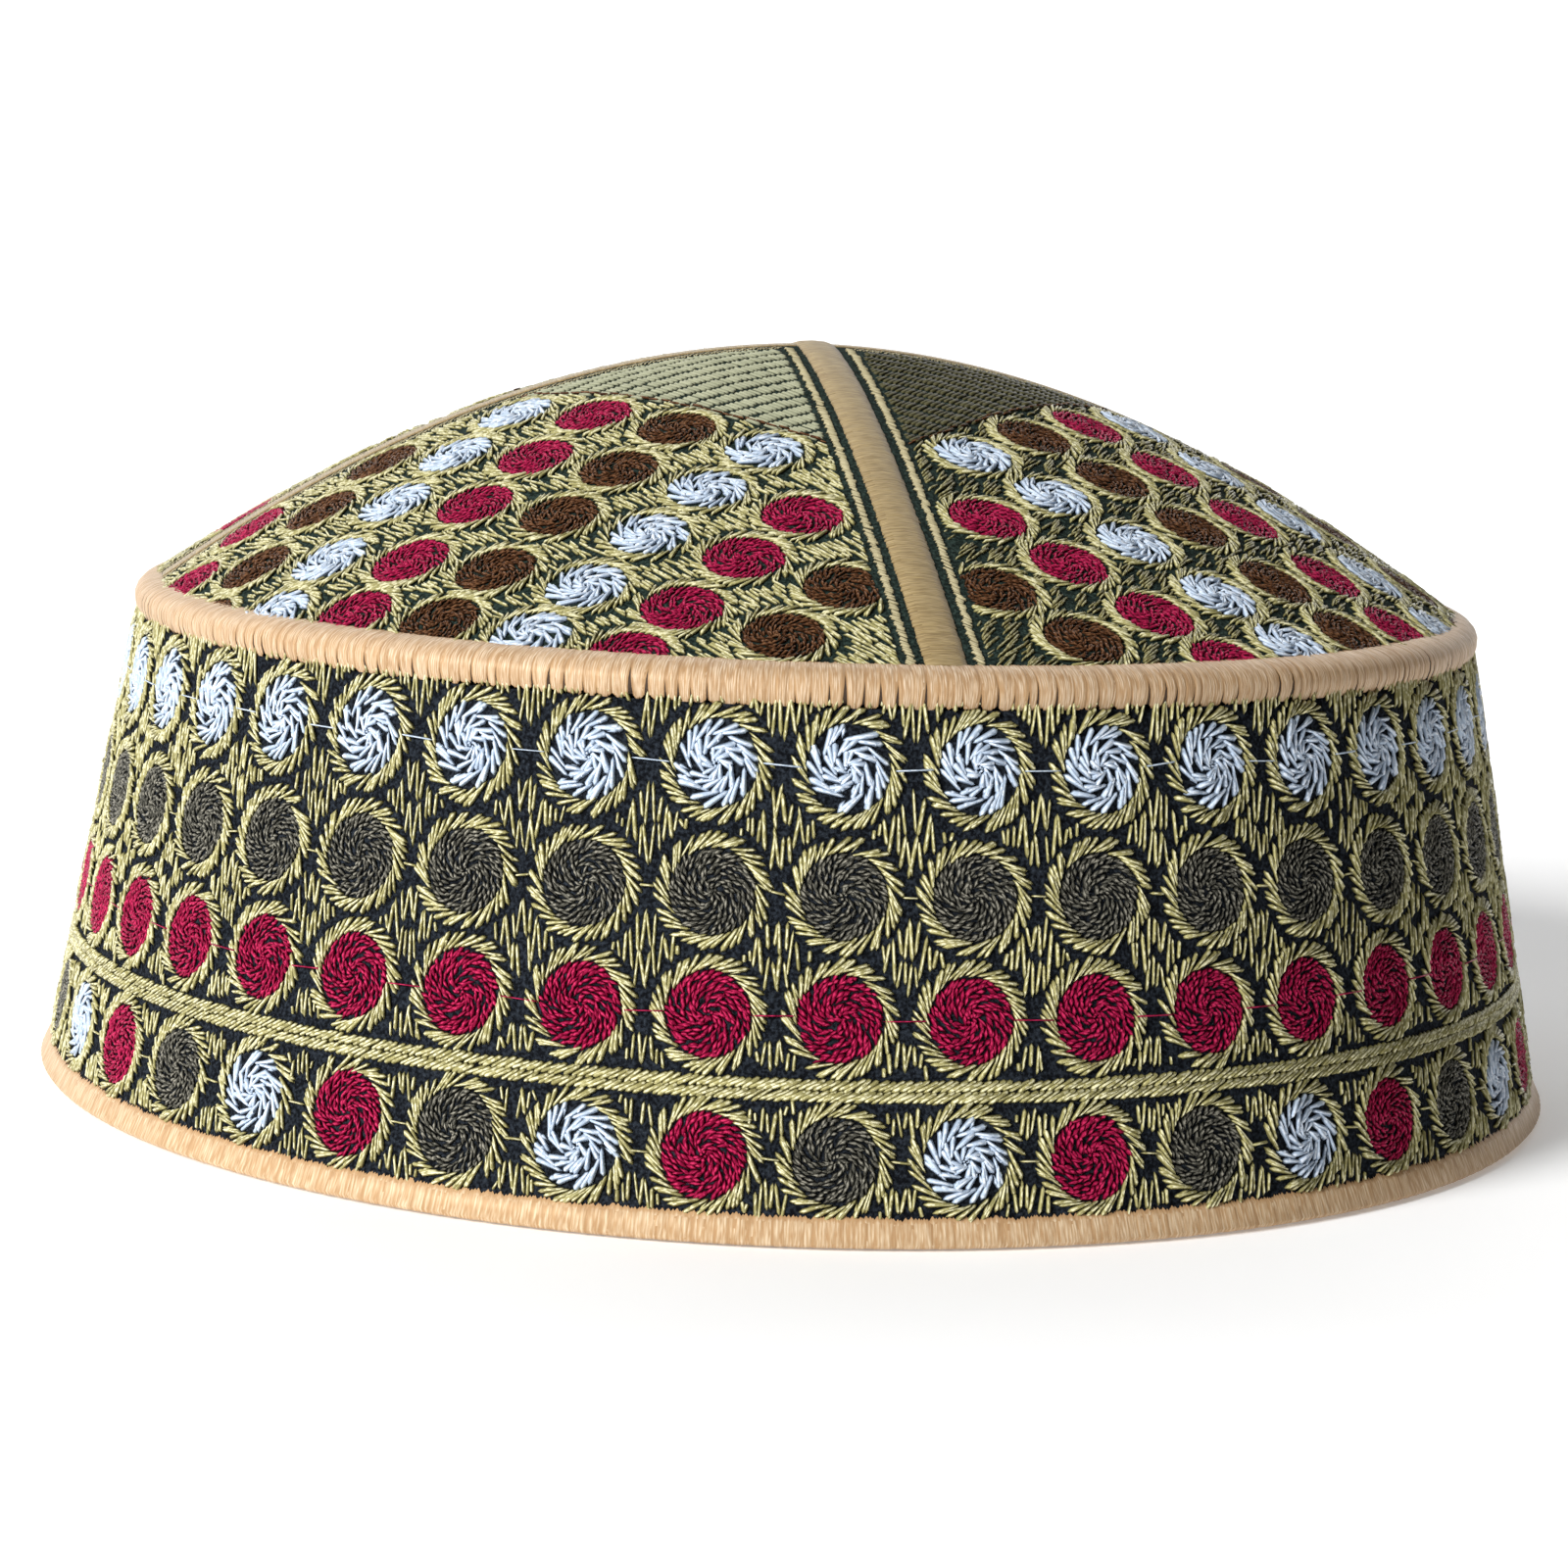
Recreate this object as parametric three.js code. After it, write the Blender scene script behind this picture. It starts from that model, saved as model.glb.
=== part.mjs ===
// Embroidered kufi cap: a low, stiff, hollow cap for a head of about 58 cm.
// A leaning oval side band carries a domed crown of four gores. Satin ribs cover the joints
// between the gores, satin piping covers the joint between crown and band, and a folded
// binding closes the rim. Millimetres, +Z up, front at -Y, origin on the floor under the centre.

import * as THREE from 'three';

// ---- driving dimensions -------------------------------------------------------------------

const RIM_HALF_WIDTH = 91.6;      // outer face of the side band at floor level, along X
const SEAM_HALF_WIDTH = 80.9;     // outer face of the side band at its upper edge, along X
const DEPTH_EXTRA = 4.8;          // how much longer the oval is along Y than along X, each way
const BAND_HEIGHT = 57.6;         // floor to the fold between side band and crown
const CROWN_RISE = 31.4;          // fold to the top of the crown's cloth
const SIDE_FULLNESS = 1.93;       // how round the dome is over its left and right ribs
const FRONT_FULLNESS = 1.42;      // over the front and back rib: nearer 1 is more like a cone
const CLOTH = 2.0;                // embroidered cloth with its backing
const GAP = 0.3;                  // clearance between neighbouring pieces

const GORE_PINCH = 1.0;           // how far the middle of a gore lies below the dome of the ribs
const PINCH_PLACE = 0.6;          // where it lies lowest, as a share of the way from apex to seam
const PINCH_ROUNDNESS = 2.5;      // larger gives a rounder gore, smaller a sharper fold at a rib
const GORE_COUNT = 4;
const GORE_TIP_RADIUS = 1.2;      // the gores stop this far from the apex, under the long rib

const RIB_WIDTH = 4.6;            // satin rib over a gore joint
const RIB_HEIGHT = 1.1;           // crest of a rib above its own underside
const RIB_EDGE = 0.45;            // thickness of a rib along its two edges
const RIB_LIFT = 0.45;            // a rib's underside above the cloth, measured straight up

const PIPING_DROP = 2.0;          // how far the piping reaches down the side band
const PIPING_REACH = 1.9;         // how far the piping reaches in over the crown
const PIPING_THICK = 1.3;         // thickness of the piping at the fold

const BINDING_CLOTH = 0.75;       // thickness of the folded rim binding
const BINDING_OUTSIDE = 3.3;      // height of the binding's outer leg
const BINDING_INSIDE = 2.3;       // height of its inner leg

// ---- facets -------------------------------------------------------------------------------

const RING_STEPS = 80;            // around the oval; each gore takes a quarter of them
const GORE_RINGS = 10;            // from seam to apex
const RIB_STEPS = 20;             // along a rib from seam to apex
const QUARTER = Math.PI / 2;

// ---- the cap's surfaces -------------------------------------------------------------------

// Outer face of the side band at height z, along X.
const bandRadius = z => RIM_HALF_WIDTH - (RIM_HALF_WIDTH - SEAM_HALF_WIDTH) * z / BAND_HEIGHT;

// Height of the dome that the ribs follow at polar place (r, angle), where r is the oval's
// half-width there and angle 0 is the front rib, at -Y. The sides are rounder than the front.
function domeHeight(r, angle) {
  const fullness = SIDE_FULLNESS + (FRONT_FULLNESS - SIDE_FULLNESS) * Math.cos(angle) ** 2;
  return BAND_HEIGHT + CROWN_RISE * (1 - (r / SEAM_HALF_WIDTH) ** fullness);
}

// Height of the dome at the sides, which the piping clears all round.
const sideHeight = r => domeHeight(r, QUARTER);

// How far a gore lies in, from 0 at the apex and the seam to 1 at PINCH_PLACE between them.
function pinchShare(share) {
  const power = PINCH_PLACE / (1 - PINCH_PLACE);
  const deepest = PINCH_PLACE ** power * (1 - PINCH_PLACE);
  return share ** power * (1 - share) / deepest;
}

// Outer face of the crown at polar place (r, angle).
function crownHeight(r, angle) {
  const across = Math.abs(Math.sin(angle * GORE_COUNT / 2));
  const fold = across * (1 + PINCH_ROUNDNESS) / (across + PINCH_ROUNDNESS);
  return domeHeight(r, angle) - GORE_PINCH * pinchShare(Math.min(r / SEAM_HALF_WIDTH, 1)) * fold;
}

// The crown is this much longer than wide.
const CROWN_STRETCH = (SEAM_HALF_WIDTH + DEPTH_EXTRA) / SEAM_HALF_WIDTH;

// Plan place of polar (r, angle), where r is the oval's half-width there.
function planPoint(r, angle) {
  return new THREE.Vector2(r * Math.sin(angle), -r * Math.cos(angle) * CROWN_STRETCH);
}

// The crown's outer face above plan place (x, y).
function crownOver(x, y) {
  return crownHeight(Math.hypot(x, y / CROWN_STRETCH), Math.atan2(x, -y / CROWN_STRETCH));
}

// ---- helpers ------------------------------------------------------------------------------

// Moves every corner of a geometry to place(corner).
function reshape(geometry, place) {
  const corners = geometry.attributes.position;
  const corner = new THREE.Vector3();
  for (let i = 0; i < corners.count; i++) {
    corner.fromBufferAttribute(corners, i);
    const moved = place(corner);
    corners.setXYZ(i, moved.x, moved.y, moved.z);
  }
  geometry.computeVertexNormals();
  return geometry;
}

// A closed section [radius, height] carried round the oval. Sections run anticlockwise.
function ovalRing(section) {
  const outline = [...section, section[0]].map(([radius, height]) => new THREE.Vector2(radius, height));
  const ring = new THREE.LatheGeometry(outline, RING_STEPS);
  ring.rotateX(QUARTER);
  return reshape(ring, p => {
    const radius = Math.hypot(p.x, p.y);
    return new THREE.Vector3(p.x, p.y * (radius + DEPTH_EXTRA) / radius, p.z);
  });
}

// A slab of steps [across, along] whose corners (u, v, w), each from 0 to 1, go to place(u, v, w).
function slab(steps, place) {
  const block = new THREE.BoxGeometry(1, 1, 1, steps[0], steps[1], 1);
  return reshape(block, p => place(p.x + 0.5, p.y + 0.5, p.z + 0.5));
}

function piece(name, geometry, look) {
  const mesh = new THREE.Mesh(geometry, look);
  mesh.name = name;
  return mesh;
}

// ---- looks --------------------------------------------------------------------------------

const groundCloth = new THREE.MeshStandardMaterial({ color: 0x55502f, roughness: 0.75, metalness: 0 });
const goreCloth = new THREE.MeshStandardMaterial({ color: 0x6b643c, roughness: 0.7, metalness: 0 });
const satinThread = new THREE.MeshStandardMaterial({ color: 0xe3b98a, roughness: 0.5, metalness: 0 });
const ribThread = new THREE.MeshStandardMaterial({ color: 0xc9a56c, roughness: 0.45, metalness: 0 });

// ---- pieces -------------------------------------------------------------------------------

// The leaning oval wall, from inside the rim binding up to just under the gores' lower edges.
function sideBand() {
  const foot = BINDING_CLOTH + 2 * GAP;
  const head = BAND_HEIGHT - CLOTH - 2 * GAP;
  return ovalRing([
    [bandRadius(foot), foot],
    [bandRadius(BAND_HEIGHT / 2), BAND_HEIGHT / 2],
    [bandRadius(head), head],
    [bandRadius(head) - CLOTH, head],
    [bandRadius(BAND_HEIGHT / 2) - CLOTH, BAND_HEIGHT / 2],
    [bandRadius(foot) - CLOTH, foot],
  ]);
}

// A strip folded round the band's lower edge. Its flat fold is what the cap rests on.
function rimBinding() {
  const outside = bandRadius(0) + GAP + BINDING_CLOTH;
  const inside = bandRadius(0) - CLOTH - GAP - BINDING_CLOTH;
  const lean = bandRadius(0) - bandRadius(BINDING_OUTSIDE);
  const round = BINDING_CLOTH * 0.9;
  return ovalRing([
    [inside + round, 0],
    [outside - round, 0],
    [outside, round],
    [outside - lean * 0.6, BINDING_OUTSIDE * 0.75],
    [outside - lean - BINDING_CLOTH * 0.6, BINDING_OUTSIDE],
    [outside - lean - BINDING_CLOTH, BINDING_OUTSIDE * 0.95],
    [outside - BINDING_CLOTH, BINDING_CLOTH + GAP],
    [inside + BINDING_CLOTH - lean * 0.3, BINDING_CLOTH + GAP],
    [inside + BINDING_CLOTH - lean * 0.7, BINDING_INSIDE],
    [inside - lean * 0.4, BINDING_INSIDE * 0.85],
    [inside, round],
  ]);
}

// The satin-wrapped welt over the fold between side band and crown.
function seamPiping() {
  const lowest = BAND_HEIGHT - PIPING_DROP;
  const inmost = SEAM_HALF_WIDTH - PIPING_REACH;
  const full = GAP + PIPING_THICK;
  return ovalRing([
    [bandRadius(lowest) + GAP, lowest],
    [bandRadius(lowest) + full * 0.75, lowest + 0.15],
    [bandRadius(lowest) + full, lowest + PIPING_DROP * 0.45],
    [SEAM_HALF_WIDTH + full * 0.8, BAND_HEIGHT + full * 0.35],
    [SEAM_HALF_WIDTH + full * 0.1, sideHeight(SEAM_HALF_WIDTH) + full * 0.9],
    [inmost + PIPING_REACH * 0.4, sideHeight(inmost + PIPING_REACH * 0.4) + full * 1.05],
    [inmost, sideHeight(inmost) + full * 0.7],
    [inmost - 0.1, sideHeight(inmost - 0.1) + GAP * 1.3],
    [SEAM_HALF_WIDTH + GAP, BAND_HEIGHT + GAP],
  ]);
}

// One gore of the crown, a curved triangle between two ribs, drawn in from its neighbours' edges.
function gore(index) {
  const firstAngle = index * QUARTER;
  const middle = planPoint(1, firstAngle + QUARTER / 2).normalize().multiplyScalar(GAP / Math.SQRT2);
  return slab([RING_STEPS / GORE_COUNT, GORE_RINGS], (u, v, w) => {
    const edge = SEAM_HALF_WIDTH - GAP;
    const radius = edge + (GORE_TIP_RADIUS - edge) * v;
    const plan = planPoint(radius, firstAngle + u * QUARTER).add(middle);
    const outer = crownHeight(Math.min(radius, edge), firstAngle + u * QUARTER);
    return new THREE.Vector3(plan.x, plan.y, outer - (1 - w) * CLOTH);
  });
}

// A satin rib over a gore joint. It runs from one plan radius to another along its angle, and
// a radius below zero lies past the apex. The rib follows the crown below it.
function rib(angle, fromRadius, toRadius) {
  const along = planPoint(1, angle);
  const across = new THREE.Vector2(-along.y, along.x).normalize();
  const steps = Math.round(RIB_STEPS * (fromRadius - toRadius) / SEAM_HALF_WIDTH);
  return slab([4, steps], (u, v, w) => {
    const side = 2 * u - 1;
    const radius = fromRadius + (toRadius - fromRadius) * v;
    const x = along.x * radius + across.x * side * RIB_WIDTH / 2;
    const y = along.y * radius + across.y * side * RIB_WIDTH / 2;
    const thick = RIB_EDGE + (RIB_HEIGHT - RIB_EDGE) * Math.sqrt(1 - side * side);
    return new THREE.Vector3(x, y, crownOver(x, y) + RIB_LIFT + w * thick);
  });
}

// ---- the cap ------------------------------------------------------------------------------

const cap = new THREE.Group();
cap.add(piece('side_band', sideBand(), groundCloth));
cap.add(piece('rim_binding', rimBinding(), satinThread));
cap.add(piece('seam_piping', seamPiping(), satinThread));

for (let index = 0; index < GORE_COUNT; index++) {
  cap.add(piece(`crown_gore_${index + 1}`, gore(index), goreCloth));
}

const ribFoot = SEAM_HALF_WIDTH - PIPING_REACH - 2 * GAP;
const ribHead = RIB_WIDTH / 2 + GAP;
cap.add(piece('rib_front_to_back', rib(0, ribFoot, -ribFoot), ribThread));
cap.add(piece('rib_right', rib(QUARTER, ribFoot, ribHead), ribThread));
cap.add(piece('rib_left', rib(-QUARTER, ribFoot, ribHead), ribThread));

export default cap;
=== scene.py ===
"""Dresses an embroidered kufi cap: cloth walls, satin edges and every stitch of the embroidery.

Lengths are metres, written as so many MM. Angles round the cap start at the front rib (-Y) and
grow towards +X. Every thread is a closed three-sided strand that dips into the cloth at its ends.
"""

import bpy
import numpy as np
from bpy.props import FloatProperty, FloatVectorProperty, IntProperty, PointerProperty, StringProperty
from bpy.types import Operator, Panel, PropertyGroup
from mathutils import Matrix, Vector


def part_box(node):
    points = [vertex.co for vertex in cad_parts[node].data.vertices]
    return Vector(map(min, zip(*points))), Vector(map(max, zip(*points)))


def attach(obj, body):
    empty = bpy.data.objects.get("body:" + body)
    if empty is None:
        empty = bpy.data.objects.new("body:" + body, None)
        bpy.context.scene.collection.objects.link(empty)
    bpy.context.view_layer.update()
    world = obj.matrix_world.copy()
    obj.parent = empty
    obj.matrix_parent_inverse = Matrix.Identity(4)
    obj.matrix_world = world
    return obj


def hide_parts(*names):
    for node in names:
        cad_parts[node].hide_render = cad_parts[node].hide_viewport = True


bl_info = {
    "name": "Embroidered kufi cap",
    "version": (1, 0, 0),
    "blender": (4, 5, 0),
    "location": "View3D > Sidebar > Kufi cap",
    "description": "Cloth walls, satin edges and stitched embroidery for a kufi cap",
    "category": "Object",
}

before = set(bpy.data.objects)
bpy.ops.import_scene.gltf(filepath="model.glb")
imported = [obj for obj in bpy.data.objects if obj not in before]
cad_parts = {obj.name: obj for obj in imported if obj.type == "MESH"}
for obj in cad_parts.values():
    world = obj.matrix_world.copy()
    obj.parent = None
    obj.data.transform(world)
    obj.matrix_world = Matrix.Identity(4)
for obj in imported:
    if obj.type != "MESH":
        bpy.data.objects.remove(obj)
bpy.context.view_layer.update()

MM = 0.001
TURN = 2 * np.pi
BODY = "root"

# ---- measures of the cap, from its parts in model.glb and given ---------------------------

GORE_NODES = [f"crown_gore_{number}" for number in (1, 2, 3, 4)]
CLOTH = 2.0 * MM                                  # thickness of the embroidered cloth


def node_box(*names):
    """Lowest and highest corner of these nodes together."""
    corners = [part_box(name) for name in names]
    return np.min([low for low, _ in corners], axis=0), np.max([high for _, high in corners], axis=0)


BAND_LOW, BAND_HIGH = node_box("side_band")
CROWN_LOW, CROWN_HIGH = node_box(*GORE_NODES)
PIPING_LOW, _ = node_box("seam_piping")
_, BINDING_HIGH = node_box("rim_binding")
RIB_LOW, RIB_HIGH = node_box("rib_front_to_back")

FOOT = BAND_LOW[2]                                # lower edge of the band's wall
FOOT_RADIUS = BAND_HIGH[0]                        # half-width of the band there
DEPTH_EXTRA = BAND_HIGH[1] - BAND_HIGH[0]         # the oval is longer than wide by this, each way
FOLD = CROWN_LOW[2] + CLOTH                       # height of the fold between band and crown
SEAM_RADIUS = CROWN_HIGH[0]                       # half-width at the fold
APEX = CROWN_HIGH[2]                              # top of the crown's cloth
STRETCH = (SEAM_RADIUS + DEPTH_EXTRA) / SEAM_RADIUS
LEAN = (SEAM_RADIUS - FOOT_RADIUS) / (FOLD - FOOT)
RIB_WIDTH = RIB_HIGH[0] - RIB_LOW[0]

SIDE_FULLNESS = 1.93                              # roundness of the dome over the side ribs
FRONT_FULLNESS = 1.42                             # and over the front and back rib
GORE_PINCH = 1.0 * MM                             # how far a gore's middle lies below the dome
PINCH_PLACE = 0.6                                 # where it lies lowest, from apex 0 to seam 1
PINCH_ROUNDNESS = 2.5                             # larger gives a rounder gore


# ---- the cap's surfaces -------------------------------------------------------------------

def unit(vectors):
    """Vectors divided by their lengths."""
    return vectors / np.linalg.norm(vectors, axis=-1, keepdims=True)


def running_length(path):
    """Length of a path up to each of its points."""
    return np.concatenate([[0], np.cumsum(np.linalg.norm(np.diff(path, axis=0), axis=1))])


def band_radius(height):
    """Half-width of the band's outer face: it shrinks evenly from the foot to the fold."""
    return FOOT_RADIUS + LEAN * (height - FOOT)


def oval(radius, angle, height):
    """Ring of half-width r: x is r sin a, y is -(r + extra) cos a."""
    x = radius * np.sin(angle)
    y = -(radius + DEPTH_EXTRA) * np.cos(angle)
    return np.stack(np.broadcast_arrays(x, y, height), axis=-1)


def onto_band(points):
    """The band's outer face straight across from each point, at the point's own height."""
    height = points[..., 2]
    radius = band_radius(height)
    angle = np.arctan2(points[..., 0] / radius, -points[..., 1] / (radius + DEPTH_EXTRA))
    return oval(radius, angle, height)


def band_frame(points):
    """East (round the cap), north (up the wall) and outward directions at points of the band."""
    radius = band_radius(points[..., 2])
    sine = points[..., 0] / radius
    cosine = -points[..., 1] / (radius + DEPTH_EXTRA)
    flat = np.zeros_like(sine)
    east = unit(np.stack([radius * cosine, (radius + DEPTH_EXTRA) * sine, flat], axis=-1))
    north = unit(np.stack([LEAN * sine, -LEAN * cosine, flat + 1], axis=-1))
    return east, north, np.cross(east, north)


def pinch_share(share):
    """How far a gore lies in: 0 at apex and seam, 1 at PINCH_PLACE, share ** p * (1 - share)."""
    power = PINCH_PLACE / (1 - PINCH_PLACE)
    deepest = PINCH_PLACE ** power * (1 - PINCH_PLACE)
    return share ** power * (1 - share) / deepest


def crown_height(x, y):
    """Height of the crown's outer face: a dome, 1 - share ** fullness, less the pinch of the gores."""
    share = np.hypot(x, y / STRETCH) / SEAM_RADIUS
    angle = np.arctan2(x, -y / STRETCH)
    across = np.abs(np.sin(2 * angle))
    fold = across * (1 + PINCH_ROUNDNESS) / (across + PINCH_ROUNDNESS)
    pinch = GORE_PINCH * pinch_share(np.clip(share, 0, 1)) * fold
    fullness = SIDE_FULLNESS + (FRONT_FULLNESS - SIDE_FULLNESS) * np.cos(angle) ** 2
    return FOLD + (APEX - FOLD) * (1 - share ** fullness) - pinch


def oval_plan(radius, angle):
    """Plan point of the crown at polar (r, a): (r sin a, -r cos a stretched)."""
    x, y = radius * np.sin(angle), -radius * np.cos(angle) * STRETCH
    return np.stack(np.broadcast_arrays(x, y), axis=-1)


def crown_point(x, y):
    """The crown's outer face over each plan point (x, y)."""
    return np.stack([x, y, crown_height(x, y)], axis=-1)


def onto_crown(points):
    """The crown's outer face straight above or below each point."""
    return crown_point(points[..., 0], points[..., 1])


def crown_slope(points):
    """Rise of the crown per metre along X and along Y, by central differences."""
    x, y, step = points[..., 0], points[..., 1], 0.05 * MM
    rise_x = (crown_height(x + step, y) - crown_height(x - step, y)) / (2 * step)
    rise_y = (crown_height(x, y + step) - crown_height(x, y - step)) / (2 * step)
    return rise_x, rise_y


def crown_normal(points):
    """Outward direction of the crown: (-rise_x, -rise_y, 1) made a unit vector."""
    rise_x, rise_y = crown_slope(points)
    return unit(np.stack([-rise_x, -rise_y, np.ones_like(rise_x)], axis=-1))


def band_normal(points):
    """Outward direction of the band."""
    return band_frame(points)[2]


# ---- meshes -------------------------------------------------------------------------------

def make_piece(name, points, triangles, materials, replaced=(), attributes=None,
               material_index=None):
    """A mesh object from arrays of points and triangles, hung on the cap's body; the parts it replaces are
    hidden.
    """
    mesh = bpy.data.meshes.new(name)
    mesh.vertices.add(len(points))
    mesh.vertices.foreach_set("co", np.ascontiguousarray(points, dtype=np.float32).ravel())
    mesh.loops.add(triangles.size)
    mesh.loops.foreach_set("vertex_index", triangles.astype(np.int32).ravel())
    mesh.polygons.add(len(triangles))
    mesh.polygons.foreach_set("loop_start", np.arange(0, triangles.size, 3, dtype=np.int32))
    mesh.polygons.foreach_set("use_smooth", np.ones(len(triangles), dtype=bool))
    for title, values in (attributes or {}).items():
        kind = "FLOAT" if values.ndim == 1 else "FLOAT_VECTOR"
        layer = mesh.attributes.new(title, kind, "POINT")
        layer.data.foreach_set("value" if values.ndim == 1 else "vector", values.astype(np.float32).ravel())
    for material in materials:
        mesh.materials.append(material)
    if material_index is not None:
        mesh.polygons.foreach_set("material_index", material_index.astype(np.int32))
    mesh.update()
    mesh.validate()
    piece = bpy.data.objects.new(name, mesh)
    bpy.context.scene.collection.objects.link(piece)
    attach(piece, BODY)
    if replaced:
        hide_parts(*replaced)
    return piece


def grid_triangles(rows, columns, close_rows=False, close_columns=False):
    """Two triangles for each cell of a grid of points numbered row by row."""
    row_ends = rows if close_rows else rows - 1
    column_ends = columns if close_columns else columns - 1
    row, column = np.meshgrid(np.arange(row_ends), np.arange(column_ends), indexing="ij")
    here = row * columns + column
    east = row * columns + (column + 1) % columns
    north = (row + 1) % rows * columns + column
    both = (row + 1) % rows * columns + (column + 1) % columns
    lower = np.stack([here, east, both], axis=-1).reshape(-1, 3)
    upper = np.stack([here, both, north], axis=-1).reshape(-1, 3)
    return np.concatenate([lower, upper])


TONE_STEP = 50                                    # how far apart the grain of two strands is read


class Strands:
    """Paths of like threads: path and outward are (count, steps, 3), width and height (count, steps)."""

    def __init__(self, path, outward, width, height):
        count, steps = path.shape[:2]
        self.path = path
        self.outward = outward
        self.width = np.broadcast_to(width, (count, steps))
        self.height = np.broadcast_to(height, (count, steps))

    def chosen(self, keep):
        """The strands for which keep is true."""
        return Strands(self.path[keep], self.outward[keep], self.width[keep], self.height[keep])


def strand_geometry(strands, rng):
    """Closed strands: a tip, a triangle (left, crest, right) at each inner step, and a tip.

    The side direction is path direction x outward. Attributes: tone, a random number for each
    strand; crest, 1 along its top and 0 at its edges; run, the place where its grain is read,
    (mm along, 0 to 1 across, tone steps), so that no two strands share one grain.
    """
    count, steps = strands.path.shape[:2]
    side = unit(np.cross(np.gradient(strands.path, axis=1), strands.outward))
    inner = slice(1, steps - 1)
    half = side[:, inner] * strands.width[:, inner, None] / 2
    rise = strands.outward[:, inner] * strands.height[:, inner, None]
    middle = strands.path[:, inner]
    rings = np.stack([middle - half, middle + rise, middle + half], axis=2).reshape(count, -1, 3)
    points = np.concatenate([strands.path[:, :1], rings, strands.path[:, -1:]], axis=1)

    last = 3 * (steps - 2) + 1
    faces = [(0, 2, 1), (0, 3, 2), (0, 1, 3)]
    for ring in range(1, last - 3, 3):
        left, crest, right = ring, ring + 1, ring + 2
        for here, there in ((left, crest), (crest, right), (right, left)):
            faces += [(here, there, there + 3), (here, there + 3, here + 3)]
    left, crest, right = last - 3, last - 2, last - 1
    faces += [(last, left, crest), (last, crest, right), (last, right, left)]
    size = points.shape[1]
    triangles = (np.array(faces)[None] + (np.arange(count) * size)[:, None, None]).reshape(-1, 3)

    tone = np.repeat(rng.random(count), size)
    crest_row = np.r_[0, np.tile([0, 1, 0], steps - 2), 0]
    across_row = np.r_[0.5, np.tile([0, 0.5, 1], steps - 2), 0.5]
    length = np.linalg.norm(np.diff(strands.path, axis=1), axis=2)
    along = np.concatenate([np.zeros((count, 1)), np.cumsum(length, axis=1)], axis=1)
    run = np.concatenate([along[:, :1], np.repeat(along[:, inner], 3, axis=1), along[:, -1:]], axis=1)
    attributes = {
        "tone": tone,
        "crest": np.tile(crest_row, count).astype(float),
        "run": np.stack([run.ravel() / MM, np.tile(across_row, count), tone * TONE_STEP], axis=-1),
    }
    return points.reshape(-1, 3), triangles, attributes


def strand_piece(name, groups, material, seed, replaced=(), core=None, core_material=None):
    """A piece of groups of strands, with the closed body that they are wound on where there is one."""
    rng = np.random.default_rng(seed)
    made = [strand_geometry(group, rng) for group in groups if len(group.path)]
    firsts = np.cumsum([0] + [len(points) for points, _, _ in made])
    points = np.concatenate([points for points, _, _ in made])
    triangles = np.concatenate([faces + first for (_, faces, _), first in zip(made, firsts)])
    attributes = {title: np.concatenate([values[title] for _, _, values in made]) for title in made[0][2]}
    index = np.zeros(len(triangles), dtype=np.int32)
    materials = [material]
    if core is not None:
        core_points, core_triangles = core
        triangles = np.concatenate([triangles, core_triangles + len(points)])
        points = np.concatenate([points, core_points])
        for title, values in attributes.items():
            blank = np.zeros((len(core_points),) + values.shape[1:])
            attributes[title] = np.concatenate([values, blank])
        index = np.concatenate([index, np.ones(len(core_triangles), dtype=np.int32)])
        materials.append(core_material)
    piece = make_piece(name, points, triangles, materials, replaced, attributes, index)
    if core is not None:
        sharpen_sides(piece, firsts[-1])
    return piece


def sharpen_sides(piece, strand_points):
    """Marks the edges along the strands' sides as sharp: satin is shaded as ribbons, not as rods."""
    mesh = piece.data
    ends = np.zeros(len(mesh.edges) * 2, dtype=np.int32)
    mesh.edges.foreach_get("vertices", ends)
    crest = np.zeros(len(mesh.vertices), dtype=np.float32)
    mesh.attributes["crest"].data.foreach_get("value", crest)
    ends = ends.reshape(-1, 2)
    sides = (crest[ends] == 0).all(axis=1) & (ends < strand_points).all(axis=1)
    mesh.attributes.new("sharp_edge", "BOOLEAN", "EDGE").data.foreach_set("value", sides)


# ---- stitches -----------------------------------------------------------------------------

LONG = np.array([0.0, 0.17, 0.83, 1.0])           # tips and ends of the raised part of a stitch
FINE = np.array([0.0, 0.5, 1.0])                  # a fine stitch has one raised place
LAID = np.array([0.0, 0.2, 0.8, 1.0])             # a stitch that lies flat beside its neighbours
TIP_DEPTH = 0.14 * MM                             # how far a stitch's tips dip into the cloth
UNEVEN_LIFT = 0.12 * MM                           # stitches lie up to this much higher than others
UNEVEN_THICKNESS = 0.12                           # usual share by which a stitch is thinner or thicker


def stitches(ground, start, end, width, height, lift, rng, steps=LONG, taper=0.0):
    """Straight stitches from start to end, laid on the ground (its pull and its outward direction).

    Widths grow from 1 - taper to 1 + taper along the raised part.
    """
    pull, outward = ground
    path = pull(start[:, None] + (end - start)[:, None] * steps[:, None])
    normal = outward(path)
    count = len(path)
    raised = (lift + UNEVEN_LIFT * rng.random(count))[:, None]
    inner = np.r_[0, np.ones(len(steps) - 2), 0]
    rise = raised * inner - TIP_DEPTH * (1 - inner)
    spread = np.r_[1, np.linspace(1 - taper, 1 + taper, len(steps) - 2), 1]
    thick = 1 + UNEVEN_THICKNESS * rng.standard_normal((count, 1)).clip(-2, 2)
    return Strands(path + normal * rise[..., None], normal, width * thick * spread, height * thick * inner)


BAND = (onto_band, band_normal)
CROWN = (onto_crown, crown_normal)


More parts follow.
